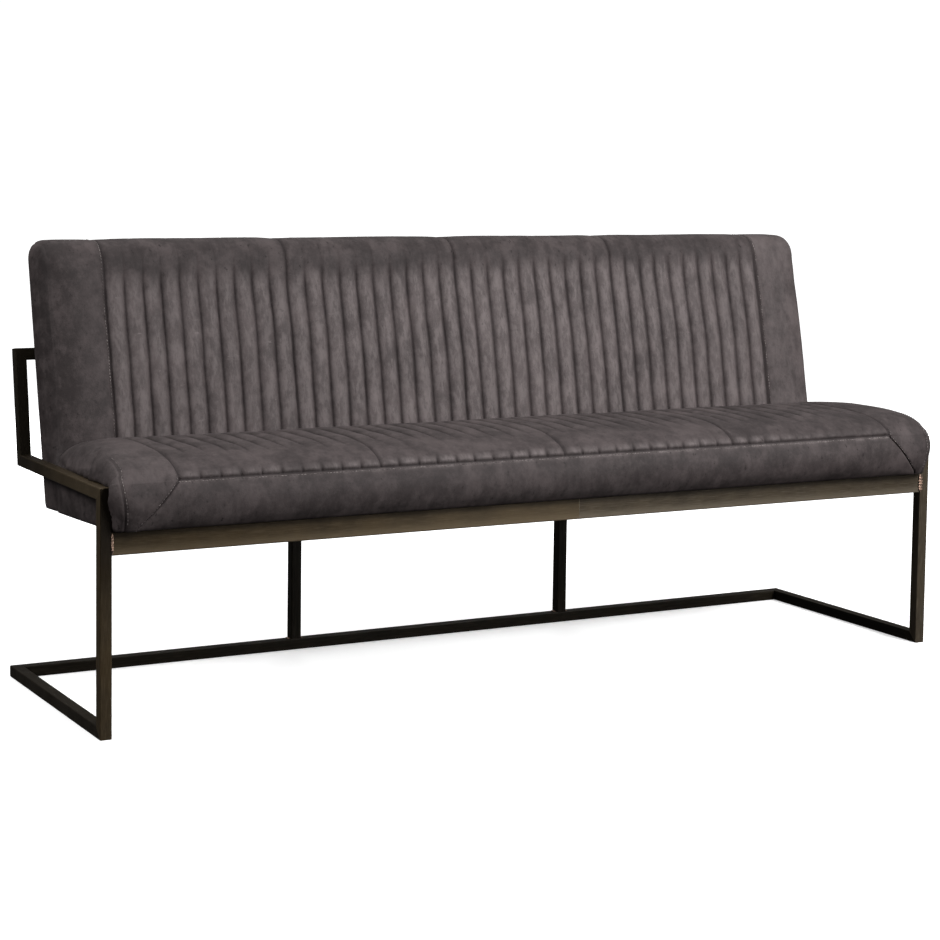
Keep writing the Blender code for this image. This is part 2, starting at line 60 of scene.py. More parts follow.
BRUSHED_ALONG = {"x": (0.03, 1.0, 1.0), "y": (1.0, 0.03, 1.0), "z": (1.0, 1.0, 0.03)}
# Near-black tone of the painted shadow close under the cushions.
PAINTED_SHADOW_TONE = (0.008, 0.0055, 0.0032, 1.0)
BRIGHT_SHINE = (("Metallic", 0.45), ("Specular IOR Level", 0.2))
DULL_SHINE = (("Metallic", 0.12), ("Specular IOR Level", 0.10))
FRONT_FACE = ("Y", -0.5, -0.9, 1.0)
# Each finish has a name, a way of brushing, its tones and its tubes. Then come the places where it is rubbed
# lighter as painted light, and the one where painted shadow darkens it: an axis, where that starts and ends,
# and how strong it gets.
LACQUERS = (
    ("bronze_rail", "x", BRONZE, ("front_rail_left",),
     (("Z", 0.337, 0.319, 0.55), ("X", -0.55, -0.05, 0.22)), ("Z", 0.343, 0.357, 0.55)),
    ("bronze_side", "y", BRONZE, ("left_side_rail",),
     (("Y", 0.10, -0.24, 0.25),), ("Y", -0.10, 0.20, 0.80)),
    ("bronze_leg", "z", BRONZE, ("left_front_leg",),
     (("Z", 0.30, 0.42, 0.12),), ("Z", 0.16, 0.35, 0.88)),
    ("grey_bronze_rail", "x", GREY_BRONZE, ("front_rail_right",),
     (("Z", 0.337, 0.319, 0.50),), ("Z", 0.343, 0.357, 0.55)),
    ("grey_bronze_side", "y", GREY_BRONZE, ("right_side_rail",),
     (("Y", 0.10, -0.24, 0.25),), ("Y", -0.10, 0.20, 0.80)),
    ("grey_bronze_leg", "z", GREY_BRONZE, ("right_front_leg",),
     (("Z", 0.30, 0.42, 0.16),), ("Z", 0.330, 0.372, 0.20)),
    # Painted shade: these tubes take the near-black copy of the lacquer.
    ("shade_painted_bronze_rail", "x", SHADE_PAINTED_BRONZE, ("back_bar", "rear_floor_rail"), (), None),
    ("shade_painted_bronze_side", "y", SHADE_PAINTED_BRONZE,
     ("left_floor_runner", "right_floor_runner", "left_seat_bearer", "right_seat_bearer"), (), None),
    ("shade_painted_bronze_leg", "z", SHADE_PAINTED_BRONZE,
     ("left_rear_upright", "right_rear_upright", "left_mid_post", "right_mid_post"), (), None),
)


def put(tree, kind, sockets=None, **settings):
    """Adds a node; each socket takes a value, or a link where it is given another node's output."""
    node = tree.nodes.new(kind)
    for name, value in settings.items():
        setattr(node, name, value)
    for name, value in (sockets or {}).items():
        if isinstance(value, bpy.types.NodeSocket):
            tree.links.new(value, node.inputs[name])
        else:
            node.inputs[name].default_value = value
    return node


def mixed(tree, share, first, second):
    """The colour between first and second."""
    return put(tree, "ShaderNodeMix", {0: share, 6: first, 7: second}, data_type="RGBA").outputs[2]


def ramped(tree, value, low, high, to_low=0.0, to_high=1.0):
    """The value carried smoothly from one range to another."""
    sockets = {0: value, 1: low, 2: high, 3: to_low, 4: to_high}
    return put(tree, "ShaderNodeMapRange", sockets, interpolation_type="SMOOTHSTEP").outputs[0]


def worked(tree, operation, first, second):
    """The result of one sum on two values."""
    return put(tree, "ShaderNodeMath", {0: first, 1: second}, operation=operation).outputs[0]


def grained(tree, places, scale, detail=4.0, roughness=0.55):
    """Cloudy noise at a scale in clouds per metre."""
    sockets = {"Vector": places, "Scale": scale, "Detail": detail, "Roughness": roughness}
    return put(tree, "ShaderNodeTexNoise", sockets).outputs[0]


def drawn_out(tree, places, shares):
    """Places scaled along each axis; a small share draws a pattern out along that axis."""
    return put(tree, "ShaderNodeVectorMath", {0: places, 1: shares}, operation="MULTIPLY").outputs[0]


def new_group(name, inputs, outputs):
    """An empty node group with named number sockets, and its two ends."""
    group = bpy.data.node_groups.new(name, "ShaderNodeTree")
    for label, value in inputs.items():
        kind = "NodeSocketVector" if value is None else "NodeSocketFloat"
        socket = group.interface.new_socket(label, in_out="INPUT", socket_type=kind)
        if value is not None:
            socket.default_value = value
    for label in outputs:
        group.interface.new_socket(label, in_out="OUTPUT", socket_type="NodeSocketFloat")
    return group, put(group, "NodeGroupInput").outputs, put(group, "NodeGroupOutput").inputs


def new_material(name):
    """A material with its node tree, its shader and the place of each point in the bench."""
    material = bpy.data.materials.new(name)
    material.use_nodes = True
    tree = material.node_tree
    places = put(tree, "ShaderNodeTexCoord").outputs["Object"]
    return material, tree, tree.nodes["Principled BSDF"], places


def join(tree, output, socket):
    """Links a node's output to a socket."""
    tree.links.new(output, socket)


def coated(tree, shader, colour, rough, shine=()):
    """Gives the shader its colour, its roughness and any other settings of its shine."""
    join(tree, colour, shader.inputs["Base Color"])
    join(tree, rough, shader.inputs["Roughness"])
    for socket, value in shine:
        shader.inputs[socket].default_value = value


def bumped(tree, shader, height, depth, strength):
    """Roughens the shader's surface by a height of up to depth metres."""
    bump = put(tree, "ShaderNodeBump", {"Height": height, "Distance": depth, "Strength": strength})
    join(tree, bump.outputs[0], shader.inputs["Normal"])


def rubbed_edges_group():
    """Mask of corners where handling has worn a finish thin, broken up by patches."""
    group, given, shown = new_group(
        "rubbed_edges", {"Places": None, "Width": 0.002, "Patches": 60.0}, ("Mask",))
    rounded = put(group, "ShaderNodeBevel", {"Radius": given["Width"]}, samples=6).outputs[0]
    flat = put(group, "ShaderNodeNewGeometry").outputs["Normal"]
    turn = put(group, "ShaderNodeVectorMath", {0: rounded, 1: flat}, operation="DOT_PRODUCT")
    edge = ramped(group, turn.outputs["Value"], 0.985, 0.80)
    patches = ramped(group, grained(group, given["Places"], given["Patches"]), 0.38, 0.66)
    join(group, worked(group, "MULTIPLY", edge, patches), shown["Mask"])
    return group


def handling_group():
    """Soft cloudy smudges that hands leave on a finish."""
    group, given, shown = new_group("handling_marks", {"Places": None, "Smudges": 9.0}, ("Smudge",))
    smudge = grained(group, given["Places"], given["Smudges"], 6.0, 0.62)
    join(group, ramped(group, smudge, 0.32, 0.70), shown["Smudge"])
    return group


rubbed_edges = rubbed_edges_group()
handling_marks = handling_group()


def towards(tree, places, axis, start, end, most):
    """A share that grows along one axis, from nothing at start to most at end."""
    along = put(tree, "ShaderNodeSeparateXYZ", {0: places}).outputs[axis]
    return ramped(tree, along, start, end, 0.0, most)


def bronze_lacquer(name, way, tones, painted_light_rubs, painted_shadow):
    """Bronze lacquer over brushed steel, in its body, shade and rubbed tones, lightened by painted light and
    darkened by painted shadow; a leg's painted shadow is on its front faces.
    """
    body, shade, rubbed_and_lit = tones
    material, tree, shader, places = new_material(name)
    edge = put(tree, "ShaderNodeGroup", {"Places": places}, node_tree=rubbed_edges).outputs["Mask"]
    smudge = put(tree, "ShaderNodeGroup", {"Places": places}, node_tree=handling_marks).outputs["Smudge"]
    streaks = grained(tree, drawn_out(tree, places, BRUSHED_ALONG[way]), BRUSH_LINES, 3.0, 0.7)
    toned = mixed(tree, smudge, body, shade)
    toned = mixed(tree, ramped(tree, streaks, 0.40, 0.75, 0.0, 0.35), toned, rubbed_and_lit)
    # Painted light: each gradient draws the lacquer toward its rubbed tone where light falls, on the rail's
    # lower edge and middle, the front of the side rails and the top of the legs.
    for rub in painted_light_rubs:
        toned = mixed(tree, towards(tree, places, *rub), toned, rubbed_and_lit)
    # Painted shadow: the lacquer turns near black close under the cushions, and on a leg only on its front
    # faces.
    if painted_shadow:
        shadow_share = towards(tree, places, *painted_shadow)
        if way == "z":
            facing = put(tree, "ShaderNodeNewGeometry").outputs["Normal"]
            shadow_share = worked(tree, "MULTIPLY", shadow_share, towards(tree, facing, *FRONT_FACE))
        toned = mixed(tree, shadow_share, toned, PAINTED_SHADOW_TONE)
    toned = mixed(tree, edge, toned, rubbed_and_lit)
    rough = worked(tree, "ADD", ramped(tree, smudge, 0.0, 1.0, 0.34, 0.50),
                   ramped(tree, streaks, 0.3, 0.7, -0.04, 0.06))
    coated(tree, shader, toned, rough, DULL_SHINE if tones is SHADE_PAINTED_BRONZE else BRIGHT_SHINE)
    bumped(tree, shader, streaks, BRUSH_DEPTH, 0.35)
    return material


def finish_node(name, material):
    """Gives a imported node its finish."""
    nodes[name].data.materials.clear()
    nodes[name].data.materials.append(material)


for finish, way, tones, tubes, painted_light_rubs, painted_shadow in LACQUERS:
    lacquer = bronze_lacquer(finish, way, tones, painted_light_rubs, painted_shadow)
    for tube in tubes:
        finish_node(tube, lacquer)


# Weld beads left in the inner corners at the legs and posts: short runs of overlapping ripples,
# brushed bare and sealed under clear lacquer, so they show copper brown beside the dark tube.
WELD_COPPER = (0.46, 0.30, 0.22, 1.0)
WELD_BURNT = (0.050, 0.034, 0.028, 1.0)
RIGHT_BEAD = {"ripple": 0.0058, "swell": 0.42, "wide": 2.5, "proud": 1.9}
LEFT_BEAD = {"ripple": 0.0046, "swell": 0.35, "wide": 1.0, "proud": 1.2}
POST_BEAD = {"ripple": 0.0026, "swell": 0.30, "wide": 1.0, "proud": 1.0}
BEAD_SIDES = 12
RIPPLE_STEPS = 6
RIPPLE_BOW = 0.0006
BEAD_TIP = 0.25
BEAD_TIP_SLOPE = 6.0


def new_piece(name, points, faces, material):
    """A mesh piece from points and faces, in the bench's own frame."""
    mesh = bpy.data.meshes.new(name)
    mesh.from_pydata([tuple(map(float, p)) for p in points], [], faces)
    form = bmesh.new()
    form.from_mesh(mesh)
    bmesh.ops.recalc_face_normals(form, faces=form.faces)
    form.to_mesh(mesh)
    form.free()
    mesh.shade_smooth()
    mesh.materials.append(material)
    piece = bpy.data.objects.new(name, mesh)
    bpy.context.scene.collection.objects.link(piece)
    return piece


def tube_faces(rings, sides):
    """Faces of a closed tube of rings, with its two ends filled."""
    faces = [(r * sides + s, r * sides + (s + 1) % sides,
              (r + 1) * sides + (s + 1) % sides, (r + 1) * sides + s)
             for r in range(rings - 1) for s in range(sides)]
    return faces + [tuple(range(sides)), tuple((rings - 1) * sides + s for s in range(sides))]


def copper_weld():
    """Bare rippled weld metal, darker where the heat has burnt it."""
    material, tree, shader, places = new_material("copper_weld")
    burnt = ramped(tree, grained(tree, places, 260.0), 0.46, 0.60)
    coated(tree, shader, mixed(tree, burnt, WELD_COPPER, WELD_BURNT),
           ramped(tree, burnt, 0.0, 1.0, 0.30, 0.55), (("Metallic", 0.5),))
    bumped(tree, shader, grained(tree, places, 1400.0), 0.0003, 0.5)
    return material


def weld_bead(node, bead_size, material):
    """A rippled bead that lies where its plain node is."""
    low, high = (np.array(corner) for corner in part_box(node))
    run, wide, tall = np.argsort(low - high)
    size, middle = high - low, (low + high) / 2
    size[wide] *= bead_size["wide"]
    size[tall] *= bead_size["proud"]
    ripples = max(3, round(size[run] / bead_size["ripple"]))
    rings = ripples * RIPPLE_STEPS + 1
    points = []
    for share in np.arange(rings) / (rings - 1):
        phase = (share * ripples) % 1.0
        swell = 1.0 - bead_size["swell"] * (1.0 - phase) ** 2
        close = min(1.0, BEAD_TIP_SLOPE * min(share, 1.0 - share) + BEAD_TIP)
        for side in range(BEAD_SIDES):
            turn = 2 * math.pi * side / BEAD_SIDES
            point = middle.copy()
            bow = RIPPLE_BOW * math.cos(turn) ** 2 * (phase - 0.5)
            point[run] = low[run] + share * size[run] + bow
            point[wide] += size[wide] / 2 * swell * close * math.cos(turn)
            point[tall] += size[tall] / 2 * swell * close * math.sin(turn)
            points.append(point)
    bead = new_piece("bead_" + node, points, tube_faces(rings, BEAD_SIDES), material)
    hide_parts(node)
    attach(bead, "root")


weld_metal = copper_weld()
for side, rail_bead in (("left", LEFT_BEAD), ("right", RIGHT_BEAD)):
    weld_bead(side + "_rail_weld", rail_bead, weld_metal)
    for place in ("post_inner_weld", "post_outer_weld"):
        weld_bead(side + "_" + place, POST_BEAD, weld_metal)


# Plywood boards inside the seat and the back, which carry the foam and take the bolts: raw birch
# ply with its long face grain along the bench. They stay as plain boards under the covers.
PLY_PALE = (0.62, 0.47, 0.30, 1.0)
PLY_BROWN = (0.40, 0.26, 0.14, 1.0)


def raw_plywood():
    """Sanded plywood with drawn-out grain."""
    material, tree, shader, places = new_material("raw_plywood")
    grain = grained(tree, drawn_out(tree, places, (0.06, 1.0, 1.0)), 120.0, 8.0, 0.7)
    coated(tree, shader, mixed(tree, ramped(tree, grain, 0.35, 0.7), PLY_PALE, PLY_BROWN),
           ramped(tree, grain, 0.3, 0.7, 0.55, 0.75))
    bumped(tree, shader, grain, 0.0004, 0.4)
    return material


plywood = raw_plywood()
for name in ("seat_board", "back_board"):
    finish_node(name, plywood)


# Seat cushion: foam on the board under a distressed leather-look cover. Four quilted panels of ten
# sewn channels run from front to rear, bordered at the ends by plain panels that turn down over
# the front in a mitre. A plain boxing strip closes the front, and end gussets close the sides.
seat_low, seat_high = (Vector(corner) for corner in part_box("seat_cover"))
rail_low, rail_high = (Vector(corner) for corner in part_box("right_side_rail"))
dust_low, dust_high = (Vector(corner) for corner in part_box("seat_dust_cover"))
panel_low, panel_high = (Vector(corner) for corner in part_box("back_rear_panel"))
SEAT_RAKE = math.radians(2.8)
BACK_LEAN = math.radians(12.6)
DUST_CLOTH = 0.001
REAR_PANEL = 0.006
BACK_THICKNESS = 0.086
FIT_GAP = 0.0003
SEAT_BOXING = 0.086
SEAT_TUCK = 0.014
BOXING_BULGE = 0.6
SEAT_REAR_DROP = 0.028
SEAT_CROWN_PLACE = 0.42
SEAT_FIELD = 0.767
SEAT_END_ROUND = 0.034
SEAT_END_DROOP = 0.019
SEAT_END_BULGE = 0.0035
SEAT_END_TAPER = 0.008
SEAT_FRONT_BULGE = 0.0105
SEAT_FRONT_ROUND = 0.5
SEAT_BELLY = 0.002
SEAT_OVERHANG = 0.0055
SEAT_CLEAR = 0.0006
BORDER_ROUND = 0.050
BORDER_PROBE = 0.02
SEAT_GROOVE = 0.0058
SEAT_RECESS = 0.0025
RECESS_INSET = 0.02
RECESS_MARGIN = 0.06
MITRE_RUN = 0.083
PANELS = 4
CHANNELS = 10
CHANNEL_STEPS = (0.0, 0.05, 0.11, 0.19, 0.31, 0.50, 0.69, 0.81, 0.89, 0.95)
SEAT_GROOVE_SHARPNESS = 3.2
STITCH_DEPTH = 0.0014
STITCH_WIDTH = 0.0022
SEAM_DEPTH = 0.0040
SEAM_WIDTH = 0.0028
SEAM_LIPS = (0.0016, 0.0038, 0.0075)
GUSSET_TURN = 38.0
GUSSET_DEPTH = 0.0022
END_TURNS = (90, 80, 70, 61, 54, 49, 45, 41.5, 38, 34.5, 31, 26, 18, 9)
END_FULLNESS = 0.6
BORDER_SPACING = 0.009
BOXING_POINTS, CROWN_POINTS = 60, 80
COVER_WAVES = 0.0013
SEAT_UP, SEAT_OVER = 20, 64


def back_plane(height, depth):
    """Place of the back's rear face, or of a face that far in front of it, at a height."""
    rear = panel_high.z - REAR_PANEL * math.sin(BACK_LEAN)
    return panel_high.y + (height - rear) * math.tan(BACK_LEAN) - depth / math.cos(BACK_LEAN)


def seat_floor(place):
    """Height of the raked underside of seat and back at a place from front to rear."""
    front = dust_high.z - DUST_CLOTH * math.cos(SEAT_RAKE)
    return front - (place - dust_low.y) * math.tan(SEAT_RAKE)


def floor_corner(depth):
    """Where a face of the back meets the raked underside."""
    height = seat_floor(back_plane(0.0, depth)) / (1 + math.tan(BACK_LEAN) * math.tan(SEAT_RAKE))
    return back_plane(height, depth), height


def run_along(points):
    """How far along a line of points each one lies."""
    return np.concatenate([[0.0], np.cumsum(np.linalg.norm(np.diff(points, axis=0), axis=1))])


def spaced(points, shares):
    """Points at given shares of the length of a line of points."""
    run = run_along(points)
    return np.column_stack([np.interp(shares * run[-1], run, points[:, k]) for k in (0, 1)])


def near(distance, width):
    """1 at a seam, falling smoothly to 0 beside it."""
    return math.exp(-(distance / width) ** 2)


def eased(value, start, end):
    """0 before start and 1 after end, with a smooth step between."""
    share = min(1.0, max(0.0, (value - start) / (end - start)))
    return share * share * (3 - 2 * share)


def wander(across, along, seed):
    """A slow, smooth, repeatable number from about -1 to 1 over a cover."""
    return noise.noise(Vector((across, along, seed)))


def outward(section):
    """Outward directions along a closed section that runs up the front and over the top."""
    along = np.roll(section, -1, axis=0) - np.roll(section, 1, axis=0)
    sideways = np.column_stack([-along[:, 1], along[:, 0]])
    return sideways / np.linalg.norm(sideways, axis=1)[:, None]


def quilt_columns(half, end_round, field):
    """Columns across a cover: place, how far drawn in, gusset seam, place in a channel, channel."""
    ends = []
    for turn in END_TURNS:
        angle = math.radians(turn)
        gusset = near(math.radians(turn - GUSSET_TURN) * end_round, SEAM_WIDTH)
        ends.append((half - end_round * (1 - math.sin(angle)), end_round * (1 - math.cos(angle)), gusset))
    inner = half - end_round
    steps = max(4, round((inner - field) / BORDER_SPACING))
    ends += [(x, 0.0, 0.0) for x in np.linspace(inner, field + SEAM_LIPS[-1], steps)]
    ends += [(field + lip, 0.0, 0.0) for lip in SEAM_LIPS[-2::-1]]
    pitch = 2 * field / (PANELS * CHANNELS)
    quilted = [(-field + (channel + share) * pitch, 0.0, 0.0, share, channel)
               for channel in range(PANELS * CHANNELS) for share in CHANNEL_STEPS]
    return ([(-x, drawn, gusset, None, -1) for x, drawn, gusset in ends] + quilted
            + [(field, 0.0, 0.0, 0.0, PANELS * CHANNELS)]
            + [(x, drawn, gusset, None, -1) for x, drawn, gusset in reversed(ends)])


def panel_seam(x, field):
    """How close a place across the cover is to one of the seams between the quilted panels."""
    pitch = 2 * field / PANELS
    nearest = min(PANELS, max(0, round((x + field) / pitch))) * pitch - field
    return near(x - nearest, SEAM_WIDTH)


def end_grid(ring, counts, points, bulge):
    """Faces that fill one end of a form between its four sides, with a soft bulge."""
    up, over = counts
    front, top = ring[:up + 1], ring[up:up + over + 1]
    rear = ring[up + over:2 * up + over + 1][::-1]
    under = (ring[2 * up + over:] + ring[:1])[::-1]
    index = [[front[i]] + [None] * (over - 1) + [rear[i]] for i in range(up + 1)]
    index[0], index[up] = list(under), list(top)
    corners = [[points[front[0]], points[rear[0]]], [points[front[up]], points[rear[up]]]]
    for i in range(1, up):
        u = i / up
        for j in range(1, over):
            v = j / over
            sides = ((1 - v) * points[front[i]] + v * points[rear[i]]
                     + (1 - u) * points[under[j]] + u * points[top[j]])
            shared = ((1 - u) * ((1 - v) * corners[0][0] + v * corners[0][1])
                      + u * ((1 - v) * corners[1][0] + v * corners[1][1]))
            puffed = bulge * (16 * u * (1 - u) * v * (1 - v)) ** END_FULLNESS
            index[i][j] = len(points)
            points.append(sides - shared + np.array([puffed, 0.0, 0.0]))
    return [(index[i][j], index[i + 1][j], index[i + 1][j + 1], index[i][j + 1])
            for i in range(up) for j in range(over)]


def mark_cover(piece, shares):
    """Writes each point's wear and painted light, painted shade in its tucks, and stains and painted shade,
    for its leather.
    """
    for key in ("worn_and_lit", "tucked_shade", "stained_and_shaded"):
        layer = piece.data.attributes.new(key, "FLOAT", "POINT")
        layer.data.foreach_set("value", np.clip(np.array(shares[key], float), 0, 1))


END_SHARES = {"worn_and_lit": 0.10, "tucked_shade": 0.0, "stained_and_shaded": 0.80, "held": 0.0}


def quilted_form(name, columns, row_count, cover_point, counts, bulge, material):
    """A closed cover swept over its columns and rows, with its ends filled; and how it is held."""
    points, shares = [], {key: [] for key in END_SHARES}
    for column in columns:
        for row in range(row_count):
            point, found = cover_point(column, row)
            points.append(point)
            for key in shares:
                shares[key].append(found[key])
    faces = [(c * row_count + r, (c + 1) * row_count + r,
              (c + 1) * row_count + (r + 1) % row_count, c * row_count + (r + 1) % row_count)
             for c in range(len(columns) - 1) for r in range(row_count)]
    for column, way in ((0, -1), (len(columns) - 1, 1)):
        ring = [column * row_count + r for r in range(row_count)]
        faces += end_grid(ring, counts, points, way * bulge)
    for key, value in END_SHARES.items():
        shares[key] += [value] * (len(points) - len(shares[key]))
    piece = new_piece(name, points, faces, material)
    mark_cover(piece, shares)
    return piece, np.clip(np.array(shares["held"], float), 0, 1)


SWELL_STEPS = 8
SWELL_REACH = 0.005
SWELL_SETTINGS = {
    "quality": 4, "mass": 0.25, "tension_stiffness": 12.0, "compression_stiffness": 12.0,
    "shear_stiffness": 4.0, "bending_stiffness": 0.6, "use_pressure": True,
    "uniform_pressure_force": 4.0, "vertex_group_mass": "held",
}


def swell(cushion, held):
    """Lets the padding push the cover out between the seams that hold it, as cloth under pressure."""
    mesh = cushion.data
    start = np.empty(len(mesh.vertices) * 3)
    mesh.vertices.foreach_get("co", start)
    group = cushion.vertex_groups.new(name="held")
    levels = np.round(held, 1)
    for level in np.unique(levels):
        group.add(np.nonzero(levels == level)[0].tolist(), float(level), "REPLACE")
    cloth = cushion.modifiers.new("swell", "CLOTH")
    for key, value in SWELL_SETTINGS.items():
        setattr(cloth.settings, key, value)
    cloth.settings.effector_weights.gravity = 0.0
    cloth.collision_settings.use_collision = False
    scene = bpy.context.scene
    for step in range(1, SWELL_STEPS + 1):
        scene.frame_set(step)
    swollen = np.empty_like(start)
    pushed = cushion.evaluated_get(bpy.context.evaluated_depsgraph_get())
    pushed.data.vertices.foreach_get("co", swollen)
    cushion.modifiers.remove(cloth)
    cushion.vertex_groups.clear()
    scene.frame_set(1)
    move = (swollen - start).reshape(-1, 3)
    length = np.maximum(np.linalg.norm(move, axis=1), 1e-9)
    move *= (np.minimum(length, SWELL_REACH) / length)[:, None]
    mesh.vertices.foreach_set("co", (start.reshape(-1, 3) + move).ravel())
    mesh.update()


# The deepest tone also carries the painted shade in the tucks; the rubbed tone also carries painted
# highlights.
LEATHER_DEEP = (0.0200, 0.0146, 0.0146, 1.0)
LEATHER_SHADE = (0.0310, 0.0237, 0.0236, 1.0)
LEATHER_BODY = (0.0790, 0.0622, 0.0618, 1.0)
LEATHER_RUBBED_AND_LIT = (0.2300, 0.1965, 0.1950, 1.0)
LEATHER_SHINE = (("Specular IOR Level", 0.28),)


def leather_group():
    """Pebbled grain, clouds of colour, long rubs and cross scuffs of a distressed leather-look cloth."""
    scales = {"Places": None, "Pebble": 520.0, "Clouds": 12.0, "Rubs": 80.0, "Scuffs": 60.0}
    group, given, shown = new_group("distressed_leather", scales, ("Height", "Cloud", "Rub", "Scuff"))
    pebble = put(group, "ShaderNodeTexVoronoi",
                 {"Vector": given["Places"], "Scale": given["Pebble"]}, feature="SMOOTH_F1")
    crease = grained(group, given["Places"], 170.0, 5.0, 0.65)
    height = worked(group, "ADD", worked(group, "MULTIPLY", pebble.outputs[0], 0.5),
                    worked(group, "MULTIPLY", crease, 0.8))
    join(group, height, shown["Height"])
    cloud = grained(group, given["Places"], given["Clouds"], 10.0, 0.78)
    join(group, ramped(group, cloud, 0.36, 0.62), shown["Cloud"])
    lengthwise = drawn_out(group, given["Places"], (1.0, 0.35, 0.35))
    rub = ramped(group, grained(group, lengthwise, given["Rubs"], 8.0, 0.70), 0.34, 0.66)
    fleck = ramped(group, grained(group, given["Places"], 480.0, 2.0, 0.5), 0.60, 0.70, 0.0, 0.6)
    join(group, worked(group, "MAXIMUM", rub, fleck), shown["Rub"])
    crosswise = drawn_out(group, given["Places"], (0.25, 1.0, 1.0))
    scuff = ramped(group, grained(group, crosswise, given["Scuffs"], 9.0, 0.75), 0.57, 0.70)
    join(group, scuff, shown["Scuff"])
    return group


distressed_leather = leather_group()


def worn_leather(name):
    """Warm dark grey leather-look cover, rubbed pale on its crowns with painted highlights, and dark in its
    tucks and stains with painted shade.
    """
    material, tree, shader, places = new_material(name)
    hide = put(tree, "ShaderNodeGroup", {"Places": places}, node_tree=distressed_leather)
    worn_and_lit, tucked_shade, stained_and_shaded = (put(tree, "ShaderNodeAttribute", attribute_name=key).outputs["Fac"]
                             for key in ("worn_and_lit", "tucked_shade", "stained_and_shaded"))
    toned = mixed(tree, hide.outputs["Cloud"], LEATHER_SHADE, LEATHER_BODY)
    rubbed_and_lit = worked(tree, "MULTIPLY", worn_and_lit, ramped(tree, hide.outputs["Rub"], 0.0, 1.0, 0.42, 1.05))
    scuffed = worked(tree, "MULTIPLY", ramped(tree, worn_and_lit, 0.0, 0.5, 0.0, 0.72), hide.outputs["Scuff"])
    rubbed_and_lit = worked(tree, "MAXIMUM", rubbed_and_lit, scuffed)
    toned = mixed(tree, rubbed_and_lit, toned, LEATHER_RUBBED_AND_LIT)
    upright = drawn_out(tree, places, (1.0, 0.6, 0.7))
    smear = ramped(tree, grained(tree, upright, 30.0, 9.0, 0.72), 0.42, 0.60, 0.35, 1.0)
    spots = ramped(tree, grained(tree, upright, 120.0, 5.0, 0.6), 0.62, 0.68)
    smear = worked(tree, "MAXIMUM", smear, worked(tree, "MULTIPLY", spots, 1.6))
    toned = mixed(tree, worked(tree, "MULTIPLY", stained_and_shaded, smear), toned, LEATHER_DEEP)
    # Painted shade: grooves, seams, stitch lines and rolled edges darken toward the deepest tone.
    toned = mixed(tree, tucked_shade, toned, LEATHER_DEEP)
    coated(tree, shader, toned, ramped(tree, rubbed_and_lit, 0.0, 0.8, 0.70, 0.76), LEATHER_SHINE)
    bumped(tree, shader, hide.outputs["Height"], 0.0006, 0.55)
    return material


def seat_sides():
    """The seat's section as four lines: front boxing, top, rear and underside."""
    low = seat_floor(seat_low.y + SEAT_TUCK)
    boxing = [(seat_low.y + SEAT_TUCK * ((s - BOXING_BULGE) / BOXING_BULGE) ** 2, low + s * SEAT_BOXING)
              for s in np.linspace(0, 1, BOXING_POINTS)]
    seam_y, seam_z = boxing[-1]
    rear_z = seat_high.z - SEAT_REAR_DROP
    rear_y = back_plane(rear_z, BACK_THICKNESS) - FIT_GAP
    peak_y = seam_y + SEAT_CROWN_PLACE * (rear_y - seam_y)
    top = [(peak_y - (peak_y - seam_y) * math.cos(turn), seam_z + (seat_high.z - seam_z) * math.sin(turn))
           for turn in np.linspace(0, math.pi / 2, CROWN_POINTS)]
    top += [(peak_y + s * (rear_y - peak_y), seat_high.z - SEAT_REAR_DROP * s ** 4)
            for s in np.linspace(0, 1, CROWN_POINTS)[1:]]
    foot_y, foot_z = floor_corner(BACK_THICKNESS)
    foot = (foot_y - FIT_GAP, foot_z)
    return [np.array(line) for line in (boxing, top, [top[-1], foot], [foot, boxing[0]])]


def seam_shares(count, length, seam_at_start):
    """Shares along a side, close together near the seam at one of its ends."""
    close = np.array((0.0,) + SEAM_LIPS) / length
    shares = np.concatenate([close, np.linspace(close[-1], 1.0, count - len(close) + 2)[1:-1]])
    return shares if seam_at_start else np.concatenate([[0.0], np.sort(1.0 - shares[1:])])


seat_lines = seat_sides()
boxing_length, top_length = (float(run_along(line)[-1]) for line in seat_lines[:2])
seat_shares = [seam_shares(SEAT_UP, boxing_length, False), seam_shares(SEAT_OVER, top_length, True),
               np.linspace(0, 1, SEAT_UP, endpoint=False), np.linspace(0, 1, SEAT_OVER, endpoint=False)]
seat_section = np.vstack([spaced(line, shares) for line, shares in zip(seat_lines, seat_shares)])
seat_out = outward(seat_section)
seat_half = seat_high.x
BOXING, TOP, REAR, UNDER = range(4)
seat_rows = [(side, float(share)) for side, shares in enumerate(seat_shares) for share in shares]


def border_section():
    """The seat's section at its plain end borders, which turn over the front in one round sweep."""
    leave, meet = 1 - BORDER_ROUND / boxing_length, BORDER_ROUND / top_length
    before, start = spaced(seat_lines[BOXING], np.array([leave - BORDER_PROBE, leave]))
    end, after = spaced(seat_lines[TOP], np.array([meet, meet + BORDER_PROBE]))
    ways = [2 * BORDER_ROUND * way / np.linalg.norm(way) for way in (start - before, after - end)]
    section = seat_section.copy()
    for row, (side, share) in enumerate(seat_rows):
        past = (share - 1) * boxing_length if side == BOXING else share * top_length
        if side in (BOXING, TOP) and abs(past) < BORDER_ROUND:
            t = (past + BORDER_ROUND) / (2 * BORDER_ROUND)
            section[row] = ((2 * t ** 3 - 3 * t ** 2 + 1) * start + (t ** 3 - 2 * t ** 2 + t) * ways[0]
                            + (3 * t ** 2 - 2 * t ** 3) * end + (t ** 3 - t ** 2) * ways[1])
    return section


